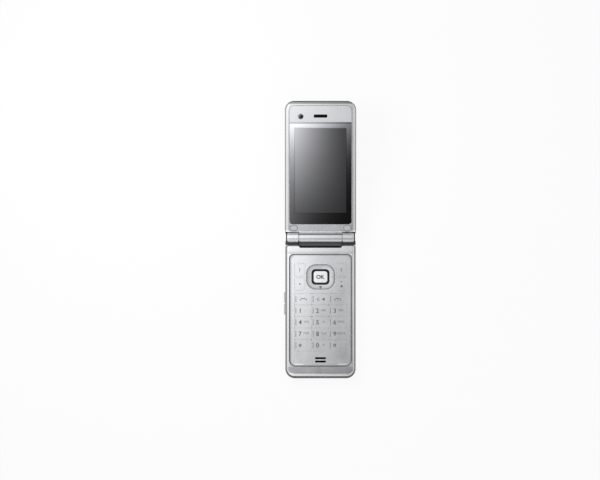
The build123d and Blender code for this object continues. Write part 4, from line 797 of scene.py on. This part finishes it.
# %% Bumpers beside the hinge
BUMPER_X, BUMPER_U = 19.5 * MM, 7.2 * MM
BUMPER_HALF = (2.7 * MM, 2.1 * MM)
BUMPER_CORNER, BUMPER_SHADE = 1.7 * MM, 0.7 * MM
bumper = Bench("bumper_rubber")
bumper.set(Base_Color=bumper.ramp(bumper.noise(0.3 * MM), [(0.3, tone(0.50)), (0.7, tone(0.58))]),
           Roughness=bumper.spread(bumper.noise(6 * MM), 0.45, 0.56), Coat_Weight=0.1)
bumper.surface(0.3 * MM, 0.15, 0.15 * MM)
bumper_away = [bumper.off(bumper.off(bumper.part("X")), BUMPER_X),
               bumper.off(distance_along_lid(bumper), BUMPER_U)]
# Painted shade along the bumpers' edges.
dim(bumper, near_edge(bumper, bumper_away, BUMPER_HALF, BUMPER_CORNER, BUMPER_SHADE), keep=0.5)
dress(bumper.material, "lid_bumpers")
print("bumpers at x", BUMPER_X, "u", BUMPER_U)

# %% [markdown]
# The earpiece's mesh is a dark sheet with a grid of pin holes, from two sine waves of its
# own coordinates. A coated lens is a black glass with rings: each ring's colour depends only
# on how far a point is from the middle. A pale painted highlight lies towards one side, and
# grows with the distance from a point on the other side.

# %% Mesh and lenses
def mesh_finish():
    bench = Bench("pin_mesh")
    pitch = 0.45 * MM
    waves = [bench.math("SINE", bench.times(bench.part(axis), 2 * pi / pitch)) for axis in "XY"]
    holes = bench.rise(bench.times(*waves), -1, 1)
    pins = bench.ramp(holes, [(0.45, tone(0.012)), (0.75, tone(0.001))])
    bench.set(Base_Color=pins, Metallic=1.0, Specular_IOR_Level=0.1,
              Roughness=bench.spread(bench.noise(0.8 * MM), 0.4, 0.6))
    return bench.material


def lens_finish(name, node, tint):
    low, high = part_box(node)
    middle = (low + high) / 2
    radius = (high.x - low.x) / 2
    bench = Bench(name)
    share = bench.math("DIVIDE", bench.away(middle), radius)
    greys = ((0.24, 0.004), (0.40, 0.020), (0.46, 0.003), (0.80, 0.012), (0.88, 0.09), (0.96, 0.02))
    rings = bench.ramp(share, [(0.0, tint)] + [(place, tone(level)) for place, level in greys])
    dark_side = middle + Vector((0.4 * radius, -0.25 * radius, 0))
    # Painted highlight on the lens, towards one side.
    painted_sheen = bench.ramp(bench.math("DIVIDE", bench.away(dark_side), 2 * radius),
                       [(0.2, tone(0.0)), (0.45, tone(0.12)), (0.65, tone(0.30))])
    bench.set(Base_Color=bench.blend(1.0, rings, painted_sheen, "ADD"), Specular_IOR_Level=0.05,
              Roughness=bench.spread(bench.noise(2 * MM), 0.04, 0.08), Coat_Weight=0.02,
              Coat_Roughness=0.02)
    return bench.material


dress(mesh_finish(), "earpiece_grille")
dress(lens_finish("front_lens", "front_camera_lens", (0.05, 0.05, 0.12, 1)), "front_camera_lens")
dress(lens_finish("rear_lens", "rear_camera_window", (0.08, 0.05, 0.11, 1)), "rear_camera_window")
left_bare = [name for name, node in nodes.items() if not node.data.materials]
print("nodes with no finish", left_bare)

# %% [markdown]
# Legends are printed on the keys in grey, a hundredth of a millimetre thick. A text curve in
# Blender's own font is turned into a mesh, scaled by its own height to the size of the
# print, and set down on the key. Printing into the material would need an image, and would
# blur close up.

# %% Ink and printed words
ink = plain_finish("legend_ink", tone(0.115), 0.5, speck=0.1)
dark_ink = plain_finish("dark_legend_ink", tone(0.05), 0.5, speck=0.1)
INK_THICKNESS = 0.01 * MM
RIB_HEIGHT = 0.1 * MM


def as_piece(name, mesh, material, body):
    piece = put(name, mesh)
    mesh.materials.clear()
    mesh.materials.append(material)
    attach(piece, body)
    return piece


def print_words(name, words, height, middle, body, material=ink, weight=0.02):
    """Flat lettering `height` tall, its middle at a point on the face."""
    text = bpy.data.curves.new(name, "FONT")
    text.body = words
    text.extrude = 0.5
    text.offset = weight
    carrier = put(name + "_text", text)
    bpy.context.view_layer.update()
    view = bpy.context.evaluated_depsgraph_get()
    mesh = bpy.data.meshes.new_from_object(carrier.evaluated_get(view))
    bpy.data.objects.remove(carrier)
    xs = [v.co.x for v in mesh.vertices]
    ys = [v.co.y for v in mesh.vertices]
    scale = height / (max(ys) - min(ys))
    centre = Vector(((max(xs) + min(xs)) / 2, (max(ys) + min(ys)) / 2, 0))
    flat = Matrix.Diagonal((scale, scale, INK_THICKNESS, 1)) @ Matrix.Translation(-centre)
    lift = Matrix.Translation((0, 0, INK_THICKNESS / 2))
    mesh.transform(Matrix.Translation(middle) @ lift @ flat)
    mesh.name = name
    return as_piece(name, mesh, material, body)


DIGIT_HEIGHT = 3.3 * MM
LETTER_HEIGHT = 1.5 * MM
DIGIT_X = -2.2 * MM
LETTER_X = 2.3 * MM
LETTERS = dict(zip("234567890", "ABC DEF GHI JKL MNO PQRS TUV WXYZ +".split()))
SIGNS = {"star": "*", "hash": "#"}


def key_face(name, dx=0.0, dy=0.0, rib=RIB_HEIGHT):
    """A point on top of a key, offset from its middle."""
    low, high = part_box(name)
    return Vector(((low.x + high.x) / 2 + dx, (low.y + high.y) / 2 + dy, high.z - rib))


for key in DIGIT_KEYS:
    sign = key.split("_")[1]
    print_words("digit_" + sign, SIGNS.get(sign, sign), DIGIT_HEIGHT * (0.8 if sign in SIGNS else 1),
                key_face(key, DIGIT_X), key)
    if sign in LETTERS:
        print_words("letters_" + sign, LETTERS[sign], LETTER_HEIGHT, key_face(key, LETTER_X, 0.4 * MM),
                    key, weight=0.0)
print("digits", len(DIGIT_KEYS), "letter groups", len(LETTERS))

# %% [markdown]
# The other marks are shapes rather than letters. Each is a flat outline lifted by the
# ink's thickness. A line becomes an outline by going along its one side and back along the
# other, so that it is one ribbon without overlaps, which would flicker in a close view.

# %% Flat shapes for marks
def ribbon(path, width):
    """Outline of a line, and its faces by corner number."""
    points = [Vector(point) for point in path]
    right, left = [], []
    for i, point in enumerate(points):
        way = points[min(i + 1, len(points) - 1)] - points[max(i - 1, 0)]
        side = Vector((-way.y, way.x)).normalized() * width / 2
        right.append(point - side)
        left.append(point + side)
    last = 2 * len(points) - 1
    faces = [(i, i + 1, last - 1 - i, last - i) for i in range(len(points) - 1)]
    return right + left[::-1], faces


def filled(outline):
    """An outline with one face, for shapes without hollows."""
    return outline, [tuple(range(len(outline)))]


def ink_mark(name, shapes, middle, body, material=ink):
    """Lifts flat shapes, with outlines in metres around the middle, off a face."""
    verts, faces = [], []
    for outline, tops in shapes:
        first, count = len(verts), len(outline)
        low = [Vector((*point, 0)) + middle for point in outline]
        verts += low + [point + Vector((0, 0, INK_THICKNESS)) for point in low]
        around = [(i, (i + 1) % count, (i + 1) % count + count, i + count) for i in range(count)]
        upper = [tuple(i + count for i in face) for face in tops]
        lower = [face[::-1] for face in tops]
        faces += [tuple(first + i for i in face) for face in around + upper + lower]
    mesh = bpy.data.meshes.new(name)
    mesh.from_pydata(verts, [], faces)
    return as_piece(name, mesh, material, body)


def arc(radius, start, end, count=9, centre=(0, 0)):
    turns = [radians(start + (end - start) * i / (count - 1)) for i in range(count)]
    return [(centre[0] + radius * cos(t), centre[1] + radius * sin(t)) for t in turns]


def box_shape(half_x, half_y):
    return filled([(-half_x, -half_y), (half_x, -half_y), (half_x, half_y), (-half_x, half_y)])


def wedge(foot, tip, width):
    """A triangle from a wide foot to a point."""
    foot, tip = Vector(foot), Vector(tip)
    side = Vector((foot.y - tip.y, tip.x - foot.x)).normalized() * width / 2
    return filled([foot + side, foot - side, tip])


print("shapes ready, ink", INK_THICKNESS, "thick")

# %% [markdown]
# The marks themselves: a handset is an arc with two straight ends, the end key's has a
# short bar under it, and the clear key has a letter and a small arrow. The centre, soft and
# shortcut keys have no rib, so their marks lie at the very top of the key.

# %% Marks on the keys around the ring
PEN = 0.42 * MM
HANDSET_END = (2.3 * MM, -1.05 * MM)
handset_path = [HANDSET_END] + arc(3.4 * MM, 50, 130, centre=(0, -2.9 * MM))
handset_path += [(-HANDSET_END[0], HANDSET_END[1])]
handset = ribbon(handset_path, PEN * 1.15)
short_bar = ribbon([(0, -1.5 * MM), (0, -0.4 * MM)], PEN)
ink_mark("call_mark", [handset], key_face("send_key"), "send_key")
ink_mark("end_mark", [handset, short_bar], key_face("end_key"), "end_key")
print_words("clear_mark", "C", 2.1 * MM, key_face("clear_key", -1.6 * MM), "clear_key")
ink_mark("clear_arrow", [wedge((3.0 * MM, 0), (0.9 * MM, 0), 2.4 * MM)], key_face("clear_key"),
         "clear_key")
for key in SIDE_KEYS[:2]:
    ink_mark(key + "_mark", [box_shape(PEN / 2, 1.4 * MM)], key_face(key, rib=0), key)
dot = filled(arc(0.55 * MM, 0, 345, count=24))
ink_mark("dot_mark", [dot], key_face("shortcut_key_left", rib=0), "shortcut_key_left")
ink_mark("square_mark", [box_shape(0.75 * MM, 0.75 * MM)],
         key_face("shortcut_key_right", 0.3 * MM, -1.6 * MM, rib=0), "shortcut_key_right")
ink_mark("tick_mark", [box_shape(0.7 * MM, PEN / 2)], key_face("shortcut_key_right", 0, 1.8 * MM, rib=0),
         "shortcut_key_right")
print_words("centre_word", "OK", 3.0 * MM, key_face("ok_key", rib=0), "ok_key", dark_ink, weight=0.04)

# %% [markdown]
# The ring has four small arrows printed in grey. They ride on the ring, so they tip with it.

# %% Arrows on the ring
pale_ink = plain_finish("pale_legend_ink", tone(0.36), 0.5, speck=0.1)
ARROWS = ((0, 8.7, 0.56, pale_ink), (90, 7.3, 0.56, pale_ink), (180, 8.7, 0.56, pale_ink),
          (270, 7.7, 0.98, ink))
ring_face = Vector((0, ring_middle.y, ring_high.z))
for turn, reach, half, mark in ARROWS:
    way = Matrix.Rotation(radians(turn), 2)
    foot, point = (way @ Vector(((reach + dx * half) * MM, 0)) for dx in (-1, 1))
    ink_mark(f"ring_arrow_{turn}", [wedge(foot, point, 2.4 * half * MM)], ring_face, "nav_ring", mark)
print("ring middle y", round(ring_middle.y, 4))

# %% [markdown]
# The floor is a pale sheet before a white backdrop. What the camera, glossy and clear rays
# meet is mostly a plain white glow of strength 1, and the rest is an ordinary matt sheet, so
# that the phone still lays a faint shadow.

# %% Floor and white surroundings
WHITE_SHARE = 0.92
FLOOR_HALF = 6.0


def seen_directly(bench):
    """1 for rays that show the surroundings as they are."""
    path = bench.add("ShaderNodeLightPath").outputs
    seen = bench.math("MAXIMUM", path["Is Camera Ray"], path["Is Glossy Ray"])
    return bench.math("MAXIMUM", seen, path["Is Transmission Ray"])


def glow(bench, strength):
    """Plain white light."""
    return bench.add("ShaderNodeEmission", Color=(1, 1, 1, 1), Strength=strength).outputs[0]


def show(bench, result):
    """Makes a shader the material's surface."""
    bench.plug(bench.tree.nodes["Material Output"].inputs["Surface"], result)


def floor_finish():
    bench = Bench("pale_floor")
    bench.set(Base_Color=tone(0.86), Roughness=0.9)
    share = bench.times(seen_directly(bench), WHITE_SHARE)
    mix = bench.add("ShaderNodeMixShader", i0=share, i1=bench.shader.outputs[0], i2=glow(bench, 1.0))
    show(bench, mix.outputs[0])
    return bench.material


def square(half, z):
    return [(-half, -half, z), (half, -half, z), (half, half, z), (-half, half, z)]


def sheet(name, verts, faces, material):
    mesh = bpy.data.meshes.new(name)
    mesh.from_pydata(verts, [], faces)
    mesh.materials.append(material)
    return put(name, mesh)


def make_floor():
    floor = sheet("floor", square(FLOOR_HALF, 0), [(0, 1, 2, 3)], floor_finish())
    floor.location.z = cad_box[0].z - 0.05 * MM


AMBIENT = 0.36


def make_surroundings():
    world = bpy.data.worlds.new("white_room")
    bpy.context.scene.world = world
    world.use_nodes = True
    room = Nodes(world.node_tree)
    background = room.tree.nodes["Background"].inputs
    room.plug(background["Color"], (1, 1, 1, 1))
    room.plug(background["Strength"], room.remap(seen_directly(room), 0.0, 1.0, AMBIENT, 1.0))


make_floor()
make_surroundings()
print("floor and surroundings made")

# %% [markdown]
# Silver needs something uneven to reflect. Photographers hang a cloth scrim close over the
# table and stand cards around it: flat faces mirror the scrim's gradient, and rounded edges
# pick up the cards as thin dark or bright lines. Here they are glowing sheets that only
# glossy rays meet. The scrim is brighter to the left and darker towards the front. A black
# band runs around the dark grey table with a grey one above it, and a pale card at the front
# serves low views. The scrim hangs low, as one far away would blur to an even grey.

# %% Cards for the reflections
def glossy_only(thing):
    for ray in ("camera", "diffuse", "shadow", "transmission", "volume_scatter"):
        setattr(thing, "visible_" + ray, False)


def card(name, verts, faces, level):
    """A sheet that glows at a level, and that only reflections see."""
    bench = Bench(name)
    show(bench, glow(bench, level(bench)))
    glossy_only(sheet(name, verts, faces, bench.material))


def ring_wall(radius, low, high):
    count = 48
    verts, faces = [], []
    for i in range(count):
        turn = 2 * pi * i / count
        verts += [(radius * cos(turn), radius * sin(turn), z) for z in (low, high)]
        a, b = 2 * i, 2 * ((i + 1) % count)
        faces.append((a, b, b + 1, a + 1))
    return verts, faces


SCRIM_HALF = 0.6
SCRIM_Z = 0.25
PEAK = 2.0


def places(bench, axis, stops):
    """Levels along an axis of the scrim: stops are (metres, level)."""
    share = bench.rise(bench.part(axis), -SCRIM_HALF, SCRIM_HALF)
    return bench.ramp(share, [(place / (2 * SCRIM_HALF) + 0.5, tone(level / PEAK))
                              for place, level in stops])


def overhead(bench):
    """Brighter to the left than to the right, and darker towards the front, with bright ends."""
    sides = places(bench, "X", ((-0.50, 0.85), (-0.25, 0.95), (-0.15, 1.40), (-0.04, 1.8), (0.0, 1.04),
                                (0.04, 0.55), (0.08, 0.65), (0.13, 1.1), (0.25, 0.90), (0.50, 0.85)))
    ends = places(bench, "Y", ((-0.50, 0.95), (-0.22, 0.9), (-0.165, 0.15), (-0.12, 0.15), (-0.085, 0.66),
                               (-0.03, 0.50), (0.01, 1.0), (0.25, 1.0), (0.50, 0.9)))
    near = places(bench, "X", ((-0.15, 0.5), (-0.05, PEAK), (0.05, PEAK), (0.15, 0.5)))
    mixed = bench.blend(near, tone(1.0 / PEAK), ends)
    return bench.times(sides, mixed, PEAK * PEAK)


TABLE_Z = cad_box[0].z - 0.04 * MM
BAND_Z = 0.09
card("overhead_scrim", square(0.62, SCRIM_Z), [(0, 1, 2, 3)], overhead)
card("dark_table", square(0.65, TABLE_Z), [(0, 1, 2, 3)], lambda bench: 0.22)
card("dark_band", *ring_wall(0.6, TABLE_Z, BAND_Z), lambda bench: 0.05)
card("grey_band", *ring_wall(0.6, BAND_Z, SCRIM_Z), lambda bench: 0.55)
card("front_card", [(-0.3, -0.5, 0.05), (0.3, -0.5, 0.05), (0.3, -0.5, 0.24), (-0.3, -0.5, 0.24)],
     [(0, 1, 2, 3)], lambda bench: 1.1)
print("scrim at", SCRIM_Z, "band up to", BAND_Z)

# %% [markdown]
# One soft box hangs close over the upper left, so the light falls off across the phone: a
# near lamp shapes a small object, and a far one flattens it. A wide, weak panel overhead
# fills in from the other side.

# %% Soft boxes
def soft_box(name, place, aim, size, watts):
    light = bpy.data.lights.new(name, "AREA")
    light.shape = "SQUARE"
    light.size = size
    light.energy = watts
    lamp = put(name, light)
    lamp.location = place
    lamp.rotation_euler = (Vector(aim) - Vector(place)).to_track_quat("-Z", "Y").to_euler()
    lamp.visible_camera = False
    lamp.visible_glossy = False


soft_box("key_box", place=(-0.17, 0.17, 0.24), aim=(-0.01, 0.05, 0.01), size=0.16, watts=0.6)
soft_box("top_panel", place=(0.1, 0.0, 1.5), aim=(0.0, 0.05, 0.0), size=1.2, watts=3.8)

# %% [markdown]
# The camera looks straight down from far away through a long lens, which keeps the two
# halves of the phone the same width. The focal length is the sensor's width times the
# distance, over the width that the view has to cover.

# %% Camera
MM_PER_PIXEL = 0.729
FRAME_WIDTH, FRAME_HEIGHT = 600, 480
PHONE_MIDDLE_X = 320.5
HINGE_LINE_Y = 237.55
CAMERA_DISTANCE = 10.0


def make_camera():
    camera = bpy.data.cameras.new("camera")
    camera.sensor_width = 36.0
    camera.lens = camera.sensor_width * CAMERA_DISTANCE / (FRAME_WIDTH * MM_PER_PIXEL * MM)
    camera.clip_end = 40
    holder = put("camera", camera)
    x = (FRAME_WIDTH / 2 - PHONE_MIDDLE_X) * MM_PER_PIXEL * MM
    y = AXIS_Y + (HINGE_LINE_Y - FRAME_HEIGHT / 2) * MM_PER_PIXEL * MM
    holder.location = (x, y, AXIS_Z + CAMERA_DISTANCE)
    bpy.context.scene.camera = holder
    return camera


camera = make_camera()
bpy.context.scene.view_settings.view_transform = "Standard"
print("lens", round(camera.lens, 1), "mm")
